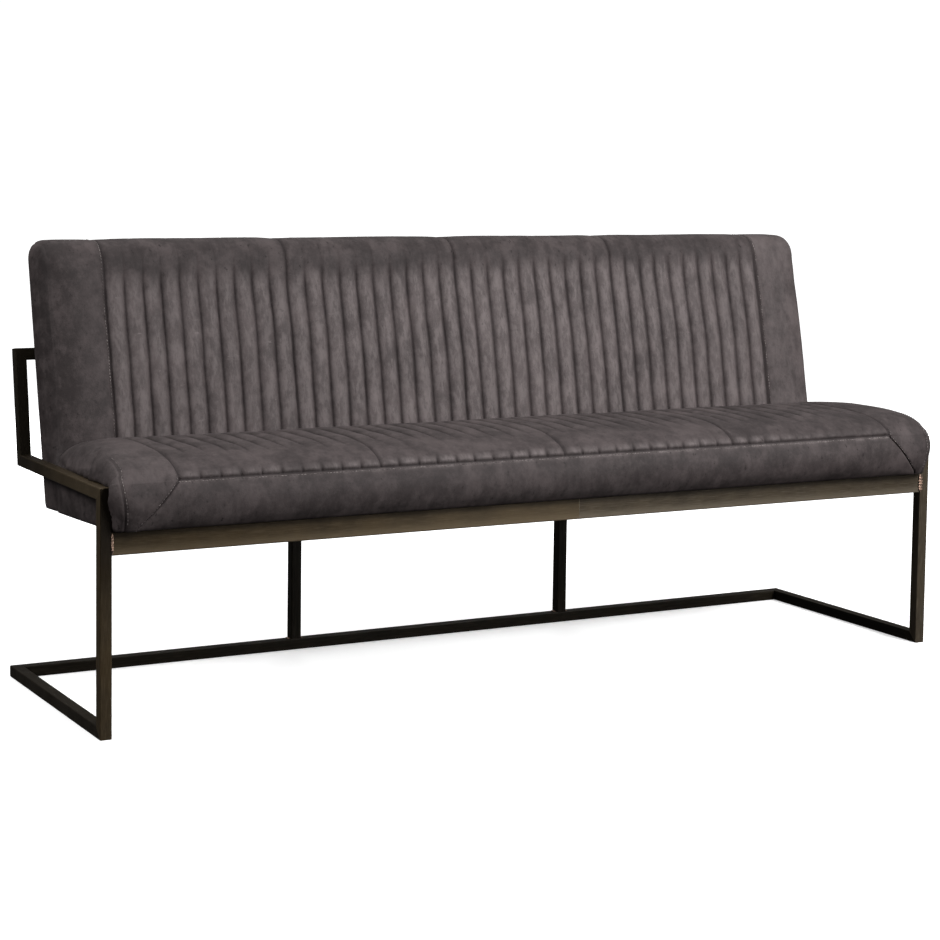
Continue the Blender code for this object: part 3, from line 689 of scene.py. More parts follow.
seat_border = border_section()
border_out = outward(seat_border)
DOWN_THE_BACK = np.array([-math.sin(BACK_LEAN), -math.cos(BACK_LEAN)])
REARWARD = np.array([1.0, 0.0])
STRAIGHT_DOWN = np.array([0.0, -1.0])
BOXING_FOOT = 0.25
SEAT_REAR_PART = 0.9
SEAT_END_FULLER = (0.15, 0.60)
SEAT_RIB_FADE = (0.14, 0.50)
SEAT_RIB_SHIFT = 0.09
SEAT_RIB_LEAST = 0.04
SEAT_RIB_UNEVEN = 0.2
SEAT_STITCH_FADE = (0.10, 0.36)
SEAT_STITCH_LEAST = 0.12
SEAT_SWAY = 0.0036
GUSSET_FADE = (0.05, 0.15)
BORDER_TURN = (0.003, 0.035)
LEG_CLEAR = (0.012, 0.030)
OVER_RAIL = (0.003, 0.011)
PUFF_REACH = 0.013
PUFF_STITCH = 0.012
PUFF_CROWN, PUFF_CROWN_WIDTH = 0.008, 0.007
PUFFS_GROW = (-0.75, -0.15)
PUFFS_FADE = (0.40, 0.64)
LIP_PLACE, LIP_WIDTH = 0.0045, 0.0022


def seat_rib(side, share, shift, x):
    """How strongly the channels show: full at the rear, pressed flat at the front, puffed at the seam."""
    if side == TOP:
        puffed = 0.9 * near(share * top_length, PUFF_REACH) * (1 - 0.7 * eased(x, *PUFFS_FADE))
        return max(SEAT_RIB_LEAST, eased(share + shift, *SEAT_RIB_FADE), puffed)
    return 1.0 - share if side == REAR else 0.0


def seat_draw(side, share, out):
    """Which way the seat's rounded ends are drawn in at a row."""
    if side == BOXING:
        low = max(0.0, 1 - share / BOXING_FOOT)
        return (-out * (1 - low) + REARWARD * low) * SEAT_FRONT_ROUND
    if side == TOP:
        rear = max(0.0, (share - SEAT_REAR_PART) / (1 - SEAT_REAR_PART))
        fuller = SEAT_FRONT_ROUND + (1 - SEAT_FRONT_ROUND) * eased(share, *SEAT_END_FULLER)
        return (-out * (1 - rear) + DOWN_THE_BACK * rear) * fuller
    return DOWN_THE_BACK * (1 - share) if side == REAR else REARWARD * share * SEAT_FRONT_ROUND


seat_draws = [seat_draw(side, share, seat_out[row]) for row, (side, share) in enumerate(seat_rows)]


def channel_shape(phase, field, sharpness):
    """How deep a place in a channel lies in its groove, and how close it is to the stitching there."""
    pitch = 2 * field / (PANELS * CHANNELS)
    return abs(2 * phase - 1) ** sharpness, near(min(phase, 1 - phase) * pitch, STITCH_WIDTH)


def seat_sewing(column, side, share, along):
    """How strong the seams, groove, stitches and channel are at a point of the seat."""
    x, _, gusset, phase, channel = column
    shift = SEAT_RIB_SHIFT * wander(3.1 * channel, 0.0, 8.0)
    seam = joint = groove = stitch = 0.0
    if side == BOXING:
        joint = near(abs(x) - SEAT_FIELD, SEAM_WIDTH)
    elif side == TOP:
        joint = panel_seam(x, SEAT_FIELD)
        gusset *= 1 - 0.92 * eased(along, *GUSSET_FADE)
    else:
        gusset = 0.0
    if channel >= 0:
        groove, stitch = channel_shape(phase, SEAT_FIELD, SEAT_GROOVE_SHARPNESS)
        stitch *= max(SEAT_STITCH_LEAST, eased(share + shift, *SEAT_STITCH_FADE),
                      near(along, PUFF_STITCH)) if side == TOP else 0.0
        if side in (BOXING, TOP):
            seam = near((1 - share) * boxing_length if side == BOXING else along, SEAM_WIDTH)
    return seam, joint, gusset, groove, stitch, seat_rib(side, share, shift, x)


def sewn_depth(sewn, groove_depth, joint_depth, gusset_depth):
    """How far the sewing draws a point of a cover in."""
    seam, joint, gusset, groove, stitch, rib = sewn
    return max(groove * rib * groove_depth + stitch * STITCH_DEPTH, seam * SEAM_DEPTH,
               joint * joint_depth, gusset * gusset_depth)


def sewn_hold(sewn):
    """How firmly the sewing holds a point of a cover while the padding swells it."""
    seam, joint, gusset, groove, _, rib = sewn
    return max(seam, joint, gusset, groove ** 2 * min(1.0, rib * 1.6))


def seat_push(x, channel, side, share, along, sewn):
    """How far a point of the seat's cover stands out, or is drawn in by the sewing."""
    uneven = 1.0 + SEAT_RIB_UNEVEN * wander(3.7 * channel, along * 9, 1.0)
    push = -sewn_depth(sewn, SEAT_GROOVE * uneven, SEAM_DEPTH, GUSSET_DEPTH)
    if side in (BOXING, TOP):
        push += COVER_WAVES * wander(x * 7, along * 8, 2.0)
    if side == BOXING:
        push += SEAT_BELLY * math.sin(math.pi * share) ** 1.5
    inside = RECESS_MARGIN < share < 1 - RECESS_MARGIN and abs(x) < seat_half - RECESS_INSET
    return push - SEAT_RECESS if side == UNDER and inside else push


def seat_spread(x, side, share, along, taper):
    """Place across the seat: mitred towards the underside, and drawn in at the rear."""
    slant = {BOXING: 1 - share, TOP: 0.0, REAR: 0.0, UNDER: share}[side]
    straight = seat_half - SEAT_END_ROUND
    place = abs(x)
    if place <= SEAT_FIELD:
        place *= 1 + slant * MITRE_RUN / SEAT_FIELD
    elif place < straight:
        place = straight - (straight - place) * (1 - slant * MITRE_RUN / (straight - SEAT_FIELD))
    place -= SEAT_END_TAPER * taper
    return place + SEAT_SWAY * wander(x * 16, along * 14, 3.0) if side == TOP else place


def seat_puff_highlight(x, channel, along):
    """How strong the painted highlight is where a channel puffs up behind the front seam, which fades at both
    ends.
    """
    uneven = max(0.25, 0.75 + 0.8 * wander(2.3 * channel, 0.0, 7.0))
    ends = (0.35 + 0.65 * eased(x, *PUFFS_GROW)) * (1 - 0.8 * eased(x, *PUFFS_FADE))
    return near(along - PUFF_CROWN, PUFF_CROWN_WIDTH) * uneven * ends


def seat_marks(x, channel, side, share, along, sewn):
    """Wear with painted light, painted shade in the tucks, stains with painted shade, and how firmly a point
    of the seat's cover is held.
    """
    seam, joint, gusset, groove, stitch, rib = sewn
    if side == BOXING:
        # Painted light toward the bottom of the boxing and painted shade toward its top right, set against
        # how the lamps light it.
        high = eased(share, 0.15, 0.75)
        worn_and_lit = 0.03 + 0.15 * (1 - high) * (1 - eased(x, 0.0, 0.6))
        stained_and_shaded = 0.52 + 0.12 * high * eased(x, -0.4, 0.7)
        if channel >= 0:
            # Painted highlight along the lip just under the front seam.
            lip = near((1 - share) * boxing_length - LIP_PLACE, LIP_WIDTH)
            worn_and_lit += lip * (0.3 + 0.5 * eased(x, *PUFFS_GROW))
        else:
            stained_and_shaded += 0.3 * (1 - high)
    else:
        crown = (1 - groove) * rib if channel >= 0 else (0.55 if x < 0 else 0.2)
        worn_and_lit = 0.04 + 0.15 * crown
        # Darker toward the right of the seat.
        stained_and_shaded = 0.32 + 0.22 * eased(x, -0.1, 0.5)
        # Painted highlight on each channel where it puffs up behind the front seam.
        if side == TOP and channel >= 0:
            worn_and_lit += 0.72 * seat_puff_highlight(x, channel, along) * (1 - groove)
    # Painted shade in the grooves, seams, stitch lines and gussets.
    tucked_shade = max(0.95 * seam ** 8, 0.95 * joint ** 3, 0.4 * gusset ** 2,
                 0.9 * stitch ** 2 * (0.35 + rib), 0.95 * groove ** 2.2 * rib)
    held = sewn_hold(sewn) if side in (BOXING, TOP) else 1.0
    return {"worn_and_lit": worn_and_lit, "tucked_shade": tucked_shade, "stained_and_shaded": stained_and_shaded, "held": held}


def seat_point(column, row):
    """One point of the seat's cover, with its wear and painted light, painted shade in its tucks, stains and
    painted shade, and how held it is.
    """
    x, drawn, _, _, channel = column
    side, share = seat_rows[row]
    turned = eased(abs(x) - SEAT_FIELD, *BORDER_TURN)
    out = (1 - turned) * seat_out[row] + turned * border_out[row]
    start = (1 - turned) * seat_section[row] + turned * seat_border[row]
    along = share * top_length if side == TOP else -start[1]
    sewn = seat_sewing(column, side, share, along)
    past = max(0.0, (abs(x) - SEAT_FIELD) / (seat_half - SEAT_FIELD))
    rearmost = {BOXING: 0.0, TOP: share, REAR: 1.0, UNDER: 1 - share}[side]
    hanging = {BOXING: share, TOP: 1.0, REAR: 1 - share, UNDER: 0.0}[side]
    droop = SEAT_END_DROOP * rearmost ** 2.5 * past ** 2 * hanging
    leaning = rearmost ** 3
    down = leaning * DOWN_THE_BACK / math.cos(BACK_LEAN) + (1 - leaning) * STRAIGHT_DOWN
    push = seat_push(x, channel, side, share, along, sewn)
    depth, height = start + out * push + seat_draws[row] * drawn + down * droop
    full = 0.0
    if side in (BOXING, TOP):
        full = SEAT_FRONT_BULGE * (1 - eased(seat_section[row][0] - seat_low.y, *LEG_CLEAR))
    if side == BOXING:
        full *= eased(share, 0.0, 1.0)
    elif side == TOP:
        full = max(full, SEAT_OVERHANG * eased(height - rail_high.z, *OVER_RAIL))
    place = seat_spread(x, side, share, along, past * rearmost ** 2) + full * past ** 2
    point = np.array([math.copysign(place, x), depth, height])
    return point, seat_marks(x, channel, side, share, along, sewn)


def press_to_frame(cushion):
    """Presses the cushion's ends flat where they meet the side rails and the legs."""
    limit = rail_low.x - SEAT_CLEAR
    for vertex in cushion.data.vertices:
        x, y, z = vertex.co
        if abs(x) > limit and y > rail_low.y - SEAT_CLEAR and z < rail_high.z + SEAT_CLEAR:
            vertex.co.x = math.copysign(limit, x)


seat_columns = quilt_columns(seat_half, SEAT_END_ROUND, SEAT_FIELD)
seat_cushion, seat_held = quilted_form(
    "seat_cushion", seat_columns, len(seat_rows), seat_point, (SEAT_UP, SEAT_OVER), SEAT_END_BULGE,
    worn_leather("seat_leather"))
swell(seat_cushion, seat_held)
press_to_frame(seat_cushion)
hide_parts("seat_cover", "seat_foam")
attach(seat_cushion, "root")


# Backrest cushion: a foam slab on its own board under the same cover, with four quilted panels of
# ten channels that run up the front and fade out below the rounded top edge, and plain end borders.
# Every line of channel stitching carries on over the top to the rear.
back_high = Vector(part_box("back_cover")[1])
BACK_FIELD = 0.746
BACK_END_ROUND = 0.030
BACK_END_BULGE = 0.003
BACK_CROWN = 0.005
BACK_TOP_FRONT = 0.040
BACK_TOP_REAR = 0.012
BACK_LOW_FRONT = 0.004
BACK_LOW_REAR = 0.010
BACK_GROOVE = 0.0070
BACK_GROOVE_SHARPNESS = 2.8
BACK_UP, BACK_OVER = 72, 16
BACK_RIB_FADE = (0.030, 0.084)
BACK_RIB_SLANT = 0.012
BACK_RIB_SHIFT = 0.010
BACK_RIB_LEAST = 0.08
BACK_RIB_UNEVEN = 0.16
BACK_SWAY = 0.0018
BACK_RIPPLE = 0.0005
BACK_SEWING_END = (0.45, 0.95)
BACK_END_RISE = 0.06
BACK_END_TURN = 0.2
BACK_GUSSET = 0.00132
BACK_BORDER = 0.02
BELOW_SEAT = 0.03
CORNER_POINTS = 12
PANEL_TUCK = 0.003
seat_line = seat_high.z - SEAT_REAR_DROP


def rounded_sides(corners):
    """Four lines round a section, each from the middle of one rounded corner to the next."""
    halves = []
    for k, (y, z, radius) in enumerate(corners):
        corner = np.array([y, z])
        ends = []
        for other in (corners[k - 1], corners[(k + 1) % 4]):
            toward = np.array(other[:2]) - corner
            ends.append(corner + toward / np.linalg.norm(toward) * radius)
        curve = [(1 - t) ** 2 * ends[0] + 2 * t * (1 - t) * corner + t * t * ends[1]
                 for t in np.linspace(0, 1, 2 * CORNER_POINTS + 1)]
        halves.append((curve[:CORNER_POINTS + 1], curve[CORNER_POINTS:]))
    return [np.array(halves[k][1] + halves[(k + 1) % 4][0]) for k in range(4)]


back_lines = rounded_sides([
    (*floor_corner(BACK_THICKNESS), BACK_LOW_FRONT),
    (back_plane(back_high.z, BACK_THICKNESS), back_high.z, BACK_TOP_FRONT),
    (back_plane(back_high.z, 0.0), back_high.z, BACK_TOP_REAR),
    (*floor_corner(0.0), BACK_LOW_REAR)])
back_shares = [np.linspace(0, 1, count, endpoint=False)
               for count in (BACK_UP, BACK_OVER, BACK_UP, BACK_OVER)]
back_section = np.vstack([spaced(line, shares) for line, shares in zip(back_lines, back_shares)])
back_rows = [(side, float(share)) for side, shares in enumerate(back_shares) for share in shares]
for row in range(BACK_UP):
    rise = (back_section[row, 1] - seat_line) / (back_high.z - BACK_TOP_FRONT - seat_line)
    back_section[row, 0] -= BACK_CROWN * math.sin(math.pi * min(1.0, max(0.0, rise))) ** 2
back_out = outward(back_section)
back_half = back_high.x
FRONT = BOXING


def back_rib(side, height, x, channel):
    """How strongly the channels show up the front, fading unevenly below the rounded top."""
    if side not in (FRONT, TOP):
        return 0.0
    shift = BACK_RIB_SHIFT * wander(4.1 * channel, 0.0, 9.0)
    down = back_high.z - height + BACK_RIB_SLANT * x / BACK_FIELD + shift
    return max(BACK_RIB_LEAST, eased(down, *BACK_RIB_FADE))


def back_draw(side, share, out, height):
    """Which way the back's rounded ends are drawn in at a row."""
    if side == FRONT:
        return -out * min(1.0, max(0.0, (height - seat_line) / BACK_END_RISE + 1.0))
    if side == TOP:
        return -out * (1 - share) + DOWN_THE_BACK * share
    return DOWN_THE_BACK * max(0.0, 1 - share / BACK_END_TURN) if side == REAR else np.zeros(2)


back_draws = [back_draw(side, share, back_out[row], back_section[row, 1])
              for row, (side, share) in enumerate(back_rows)]


def back_sewing(column, side, share, height):
    """How strong the seams, groove, stitches and channel are at a point of the back."""
    x, _, gusset, phase, channel = column
    rib = back_rib(side, height, x, channel)
    shown = {FRONT: 1.0, TOP: 1 - eased(share, *BACK_SEWING_END), REAR: 0.0, UNDER: 0.0}[side]
    joint = panel_seam(x, BACK_FIELD) * shown
    gusset = gusset if side in (FRONT, TOP) and height > seat_line else 0.0
    groove = stitch = 0.0
    if channel >= 0:
        groove, stitch = channel_shape(phase, BACK_FIELD, BACK_GROOVE_SHARPNESS)
    return 0.0, joint, gusset, groove, stitch * shown * (0.4 + 0.6 * rib), rib


def back_push(x, channel, side, height, sewn):
    """How far a point of the back's cover stands out, or is drawn in by the sewing."""
    uneven = 1.0 + BACK_RIB_UNEVEN * wander(5.3 * channel, height * 8, 4.0)
    push = -sewn_depth(sewn, BACK_GROOVE * uneven, SEAM_DEPTH + PANEL_TUCK * sewn[-1], BACK_GUSSET)
    if side in (FRONT, TOP):
        push += COVER_WAVES * wander(x * 6, height * 7, 5.0)
    if side == REAR and abs(x) < panel_high.x and panel_low.z < height < panel_high.z:
        push -= REAR_PANEL + FIT_GAP / 2
    return push


def back_marks(column, side, share, height, sewn):
    """Wear with painted light, painted shade in the tucks, stains with painted shade, and how firmly a point
    of the back's cover is held.
    """
    x, drawn, _, _, channel = column
    _, joint, gusset, groove, stitch, rib = sewn
    crown = (1 - groove) * rib if channel >= 0 else 0.0
    # Paler on the right border and toward the middle of the back.
    worn_and_lit = (0.03 if x < BACK_FIELD else 0.20) + (0.45 + 0.20 * near(x - 0.1, 0.5)) * crown
    # Darker where the channels fade out below the top.
    stained_and_shaded = 0.22 + 0.48 * (1 - rib)
    # Painted shade: the left border darkens toward its outer end, and the right border along its rounded
    # edge, where they turn away from the light.
    if channel < 0 and x < 0:
        stained_and_shaded = 0.42 + 0.40 * eased(-x, BACK_FIELD + BACK_BORDER, back_half - BACK_BORDER)
    elif channel < 0:
        stained_and_shaded = 0.1 + 0.7 * eased(drawn / BACK_END_ROUND, 0.2, 0.7)
    front = {FRONT: 1.0, TOP: 1 - share, REAR: 0.0, UNDER: 0.0}[side]
    # Painted shade in the grooves, seams, stitch lines and gussets.
    tucked_shade = max(0.9 * joint ** 3, 0.2 * gusset ** 2, 0.35 * stitch ** 2, 0.12 * groove ** 2 * rib)
    free = side in (FRONT, TOP) and height >= seat_line - BELOW_SEAT
    return {"worn_and_lit": worn_and_lit * front + 0.12 * (1 - front), "tucked_shade": tucked_shade,
            "stained_and_shaded": stained_and_shaded * front + 0.35 * (1 - front), "held": sewn_hold(sewn) if free else 1.0}


def back_point(column, row):
    """One point of the back's cover, with its wear and painted light, painted shade in its tucks, stains and
    painted shade, and how held it is.
    """
    x, drawn, _, _, channel = column
    side, share = back_rows[row]
    depth, height = (float(k) for k in back_section[row])
    sewn = back_sewing(column, side, share, height)
    sway = 0.0
    if side in (FRONT, TOP):
        sway = BACK_SWAY * wander(x * 14, height * 11, 6.0) + BACK_RIPPLE * wander(x * 40, height * 45, 6.5)
    move = back_out[row] * back_push(x, channel, side, height, sewn) + back_draws[row] * drawn
    point = np.array([x + sway, depth + move[0], height + move[1]])
    return point, back_marks(column, side, share, height, sewn)


back_columns = quilt_columns(back_half, BACK_END_ROUND, BACK_FIELD)
back_cushion, back_held = quilted_form(
    "back_cushion", back_columns, len(back_rows), back_point, (BACK_UP, BACK_OVER), BACK_END_BULGE,
    worn_leather("back_leather"))
swell(back_cushion, back_held)
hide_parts("back_cover", "back_foam")
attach(back_cushion, "root")


# Rear panel of the back: a thin board padded and wrapped in the same leather-look cloth, let into the
# cover's open rear and held by the bolts. Its edges are soft, and each rubber spacer dents it.
PANEL_SIDE_STEPS = (0.0, 0.0005, 0.0015, 0.0030, 0.0045, 0.0065, 0.011, 0.020)
PANEL_SPACING = 0.020
PANEL_EDGE = 0.0055
PANEL_CROWN = 0.0016
PANEL_CROWN_RISE = 0.06
PANEL_SUNK = 0.0004
PANEL_WAVES = 0.0005
PANEL_INSET = 0.0008
PANEL_RUB_RISE = 0.03
SPACER_DENT = 0.035
REAR_OUT = np.array([math.cos(BACK_LEAN), -math.sin(BACK_LEAN)])
panel_top = panel_high.z - REAR_PANEL * math.sin(BACK_LEAN)
panel_length = (panel_top - panel_low.z) / math.cos(BACK_LEAN)
spacer_boxes = [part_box(f"back_spacer_{k}") for k in range(1, 5)]
spacer_middles = [(Vector(low) + Vector(high)) / 2 for low, high in spacer_boxes]


def edged_steps(length):
    """Places along a side, close together at its two ends."""
    steps = np.array(PANEL_SIDE_STEPS)
    inner = np.arange(steps[-1] + PANEL_SPACING, length - steps[-1] - PANEL_SPACING / 2, PANEL_SPACING)
    return np.concatenate([steps, inner, (length - steps)[::-1]])


def slab_faces(columns, rows):
    """Faces of a thin closed slab: one grid for each face and a strip round the edge."""
    one, other = np.arange(2 * columns * rows).reshape(2, columns, rows).tolist()
    faces = [(grid[c][r], grid[c + 1][r], grid[c + 1][r + 1], grid[c][r + 1])
             for grid in (one, other) for c in range(columns - 1) for r in range(rows - 1)]
    rim = ([(c, 0) for c in range(columns)] + [(columns - 1, r) for r in range(1, rows)]
           + [(c, rows - 1) for c in range(columns - 2, -1, -1)] + [(0, r) for r in range(rows - 2, 0, -1)])
    for (c, r), (d, q) in zip(rim[-1:] + rim, rim):
        faces.append((one[c][r], one[d][q], other[d][q], other[c][r]))
    return faces


def spacer_dent(x, z):
    """How hard the nearest spacer presses a place of the panel, from 0 to 1."""
    return max(near(math.hypot(x - middle.x, (z - middle.z) / math.cos(BACK_LEAN)), SPACER_DENT)
               for middle in spacer_middles)


panel_across, panel_down = edged_steps(2 * panel_high.x), edged_steps(panel_length)
panel_outer, panel_inner, panel_shares = [], [], {"worn_and_lit": [], "tucked_shade": [], "stained_and_shaded": []}
for side in panel_across:
    for drop in panel_down:
        x, z = side - panel_high.x, panel_top - drop * math.cos(BACK_LEAN)
        edge = min(side, 2 * panel_high.x - side, drop, panel_length - drop)
        rolled = max(0.0, 1 - edge / PANEL_EDGE)
        crown = PANEL_CROWN * min(1.0, edge / PANEL_CROWN_RISE) ** 0.7
        soft = (crown + PANEL_WAVES * wander(x * 9, z * 9, 11.0)) * (1 - spacer_dent(x, z))
        lift = soft - PANEL_SUNK - PANEL_EDGE * (1 - math.sqrt(max(0.0, 1 - rolled ** 2)))
        plane = np.array([back_plane(z, 0.0), z])
        panel_outer.append((x, *(plane + REAR_OUT * lift)))
        inset = PANEL_INSET if rolled >= 1.0 else 0.0
        panel_inner.append((x - math.copysign(inset, x), *(plane - REAR_OUT * REAR_PANEL)))
        panel_shares["worn_and_lit"].append(0.10 + 0.10 * min(1.0, edge / PANEL_RUB_RISE))
        # Painted shade where the panel's edge rolls down into the recess.
        panel_shares["tucked_shade"].append(0.8 * rolled ** 2)
        panel_shares["stained_and_shaded"].append(0.3)
back_panel_pad = new_piece("back_panel_pad", panel_outer + panel_inner,
                           slab_faces(len(panel_across), len(panel_down)), worn_leather("panel_leather"))
mark_cover(back_panel_pad, {key: 2 * values for key, values in panel_shares.items()})
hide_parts("back_rear_panel")
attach(back_panel_pad, "root")


# Stitching of the covers: a row of thick thread beside the mitred borders of the seat, under its front
# seam, round its end gussets, and up both borders of the back. Each stitch sinks in at its two ends.
THREAD_COLOUR = (0.400, 0.350, 0.335, 1.0)
THREAD_SHADE = (0.060, 0.048, 0.047, 1.0)
THREAD_RADIUS = 0.0005
STITCH_PITCH = 0.0062
STITCH_LENGTH = 0.0046
STITCH_LIFT = 0.0003
STRAND_RINGS = ((0.0, 0.45, -1.0), (0.16, 0.9, 0.1), (0.5, 1.0, 0.7), (0.84, 0.9, 0.1), (1.0, 0.45, -1.0))
STRAND_SIDES = 6
GUSSET_STITCH_TURN = 31.0
BORDER_STITCHES = (0.08, 0.06)
GUSSET_STITCHES = (0.15, 0.25)


def waxed_thread():
    """Twisted thread with a soft sheen."""
    material, tree, shader, places = new_material("waxed_thread")
    twist = grained(tree, places, 1600.0, 3.0, 0.6)
    faded = ramped(tree, grained(tree, places, 90.0, 4.0, 0.7), 0.42, 0.62)
    lit = worked(tree, "MULTIPLY", faded, ramped(tree, twist, 0.35, 0.65, 0.5, 1.0))
    coated(tree, shader, mixed(tree, lit, THREAD_SHADE, THREAD_COLOUR),
           ramped(tree, twist, 0.3, 0.7, 0.45, 0.65))
    bumped(tree, shader, twist, 0.0002, 0.5)
    return material


def add_strand(points, faces, start, end, up, radius):
    """Adds one short round strand that rises in the middle and sinks in at its ends."""
    along = (end - start) / np.linalg.norm(end - start)
    across = np.cross(along, up)
    across /= np.linalg.norm(across)
    over = np.cross(across, along)
    first = len(points)
    for share, swell, rise in STRAND_RINGS:
        middle = start + share * (end - start) + over * rise * radius
        for k in range(STRAND_SIDES):
            turn = 2 * math.pi * k / STRAND_SIDES
            points.append(middle + radius * swell * (math.cos(turn) * across + math.sin(turn) * over))
    faces += [tuple(first + k for k in face) for face in tube_faces(len(STRAND_RINGS), STRAND_SIDES)]


def on_line(run, values, at):
    """The place or direction that far along a line of points."""
    return np.array([np.interp(at, run, values[:, k]) for k in range(3)])


def sew(name, cushion, lines, thread):
    """Stitches along lines of a cover's points."""
    count = len(cushion.data.vertices) * 3
    places, normals = np.empty(count), np.empty(count)
    cushion.data.vertices.foreach_get("co", places)
    cushion.data.vertex_normals.foreach_get("vector", normals)
    places, normals = places.reshape(-1, 3), normals.reshape(-1, 3)
    points, faces = [], []
    for line in lines:
        run = run_along(places[line])
        for begin in np.arange(0.0, run[-1] - STITCH_LENGTH, STITCH_PITCH):
            up = on_line(run, normals[line], begin)
            start, end = (on_line(run, places[line], at) + up * STITCH_LIFT
                          for at in (begin, begin + STITCH_LENGTH))
            add_strand(points, faces, start, end, up, THREAD_RADIUS)
    stitches = new_piece(name, points, faces, thread)
    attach(stitches, "root")


def up_column(columns, rows, x, keep):
    """Points of the column of a cover nearest a place across it, at the rows that are kept."""
    column = min(range(len(columns)), key=lambda k: abs(columns[k][0] - x))
    return [column * len(rows) + row for row, found in enumerate(rows) if keep(row, *found)]


thread = waxed_thread()
beside_seam = SEAM_LIPS[1]
beside_gusset = SEAT_END_ROUND * (1 - math.sin(math.radians(GUSSET_STITCH_TURN)))
seat_stitch_row = min((row for row, found in enumerate(seat_rows) if found[0] == BOXING),
                      key=lambda row: abs((1 - seat_rows[row][1]) * boxing_length - beside_seam))
seat_stitch_lines = [
    [k * len(seat_rows) + seat_stitch_row for k, column in enumerate(seat_columns) if column[4] >= 0]]
for way in (-1, 1):
    for x, (low, far) in ((SEAT_FIELD + beside_seam, BORDER_STITCHES),
                          (seat_half - beside_gusset, GUSSET_STITCHES)):
        seat_stitch_lines.append(up_column(
            seat_columns, seat_rows, way * x,
            lambda row, side, share: (side == BOXING and share > low) or (side == TOP and share < far)))
sew("seat_stitching", seat_cushion, seat_stitch_lines, thread)
back_stitch_lines = [
    up_column(back_columns, back_rows, way * (BACK_FIELD + beside_seam),
              lambda row, side, share: (side == FRONT and back_section[row, 1] > seat_line) or side == TOP)
    for way in (-1, 1)]
sew("back_stitching", back_cushion, back_stitch_lines, thread)


# Dust cloth under the seat: thin black felted cloth cut to the board, drawn tight over it and stapled
# along its edges. It sags a little between the bearers that the seat stands on.
DUST_BLACK = (0.010, 0.010, 0.011, 1.0)
DUST_FIBRE = (0.040, 0.040, 0.043, 1.0)
DUST_SAG = 0.0014
DUST_THICKNESS = 0.0005
DUST_SPACING = 0.012
STAPLE_PITCH = 0.042
STAPLE_INSET = 0.009
STAPLE_CROWN = 0.0105
STAPLE_WIRE = 0.0006
STAPLE_PRESS = 0.0002
LONG_EDGE_START = 0.02
SHORT_EDGE_START, SHORT_EDGE_STOP = 0.03, 0.01
ZINC_DULL = (0.36, 0.36, 0.38, 1.0)
ZINC_BRIGHT = (0.58, 0.58, 0.60, 1.0)
bearer_low, bearer_high = (Vector(corner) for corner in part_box("right_seat_bearer"))


def felted_cloth():
    """Pressed black fibres, lighter where they stand up."""
    material, tree, shader, places = new_material("felted_cloth")
    fibres = grained(tree, places, 900.0, 6.0, 0.75)
    pressed = put(tree, "ShaderNodeTexVoronoi", {"Vector": places, "Scale": 420.0}).outputs[0]
    coated(tree, shader, mixed(tree, ramped(tree, fibres, 0.42, 0.70), DUST_BLACK, DUST_FIBRE),
           ramped(tree, fibres, 0.3, 0.7, 0.85, 0.98), (("Specular IOR Level", 0.15),))
    bumped(tree, shader, worked(tree, "ADD", fibres, pressed), 0.0004, 0.6)
    return material


def dust_height(x, y):
    """Height of the dust cloth's lower face."""
    bays = (-dust_high.x, -bearer_high.x, -bearer_low.x, bearer_low.x, bearer_high.x, dust_high.x)
    bay = max(k for k in range(5) if x >= bays[k])
    across = (x - bays[bay]) / (bays[bay + 1] - bays[bay]) if bay % 2 == 0 else 0.0
    along = (y - dust_low.y) / (dust_high.y - dust_low.y)
    sag = 0.0
    if across > 0:
        sag = DUST_SAG * math.sin(math.pi * across) ** 0.6 * math.sin(math.pi * along) ** 0.6
    return seat_floor(y) + FIT_GAP - sag * (1 + 0.3 * wander(x * 12, y * 12, 12.0))


def zinc_plate():
    """Bright zinc plate with a fine crystal pattern."""
    material, tree, shader, places = new_material("zinc_plate")
    spangle = put(tree, "ShaderNodeTexVoronoi", {"Vector": places, "Scale": 700.0}).outputs["Color"]
    level = put(tree, "ShaderNodeSeparateColor", {0: spangle}).outputs[0]
    coated(tree, shader, mixed(tree, level, ZINC_DULL, ZINC_BRIGHT),
           ramped(tree, level, 0.0, 1.0, 0.26, 0.42), (("Metallic", 1.0),))
    bumped(tree, shader, grained(tree, places, 900.0), 0.0001, 0.3)
    return material


dust_across = np.linspace(-dust_high.x, dust_high.x, round(2 * dust_high.x / DUST_SPACING) + 1)
dust_along = np.linspace(dust_low.y, dust_high.y, round((dust_high.y - dust_low.y) / DUST_SPACING) + 1)
dust_points = [(x, y, dust_height(x, y) + layer * DUST_THICKNESS)
               for layer in (0, 1) for x in dust_across for y in dust_along]
dust_cloth = new_piece("dust_cloth", dust_points, slab_faces(len(dust_across), len(dust_along)),
                       felted_cloth())
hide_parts("seat_dust_cover")
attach(dust_cloth, "root")
zinc = zinc_plate()
staple_points, staple_faces = [], []
edge_x, edge_y = dust_high.x - STAPLE_INSET, (dust_low.y + STAPLE_INSET, dust_high.y - STAPLE_INSET)
staple_places = [(x, y, (1, 0)) for y in edge_y
                 for x in np.arange(-edge_x + LONG_EDGE_START, edge_x, STAPLE_PITCH)]
staple_places += [(x, y, (0, 1)) for x in (-edge_x, edge_x)
                  for y in np.arange(edge_y[0] + SHORT_EDGE_START, edge_y[1] - SHORT_EDGE_STOP, STAPLE_PITCH)]
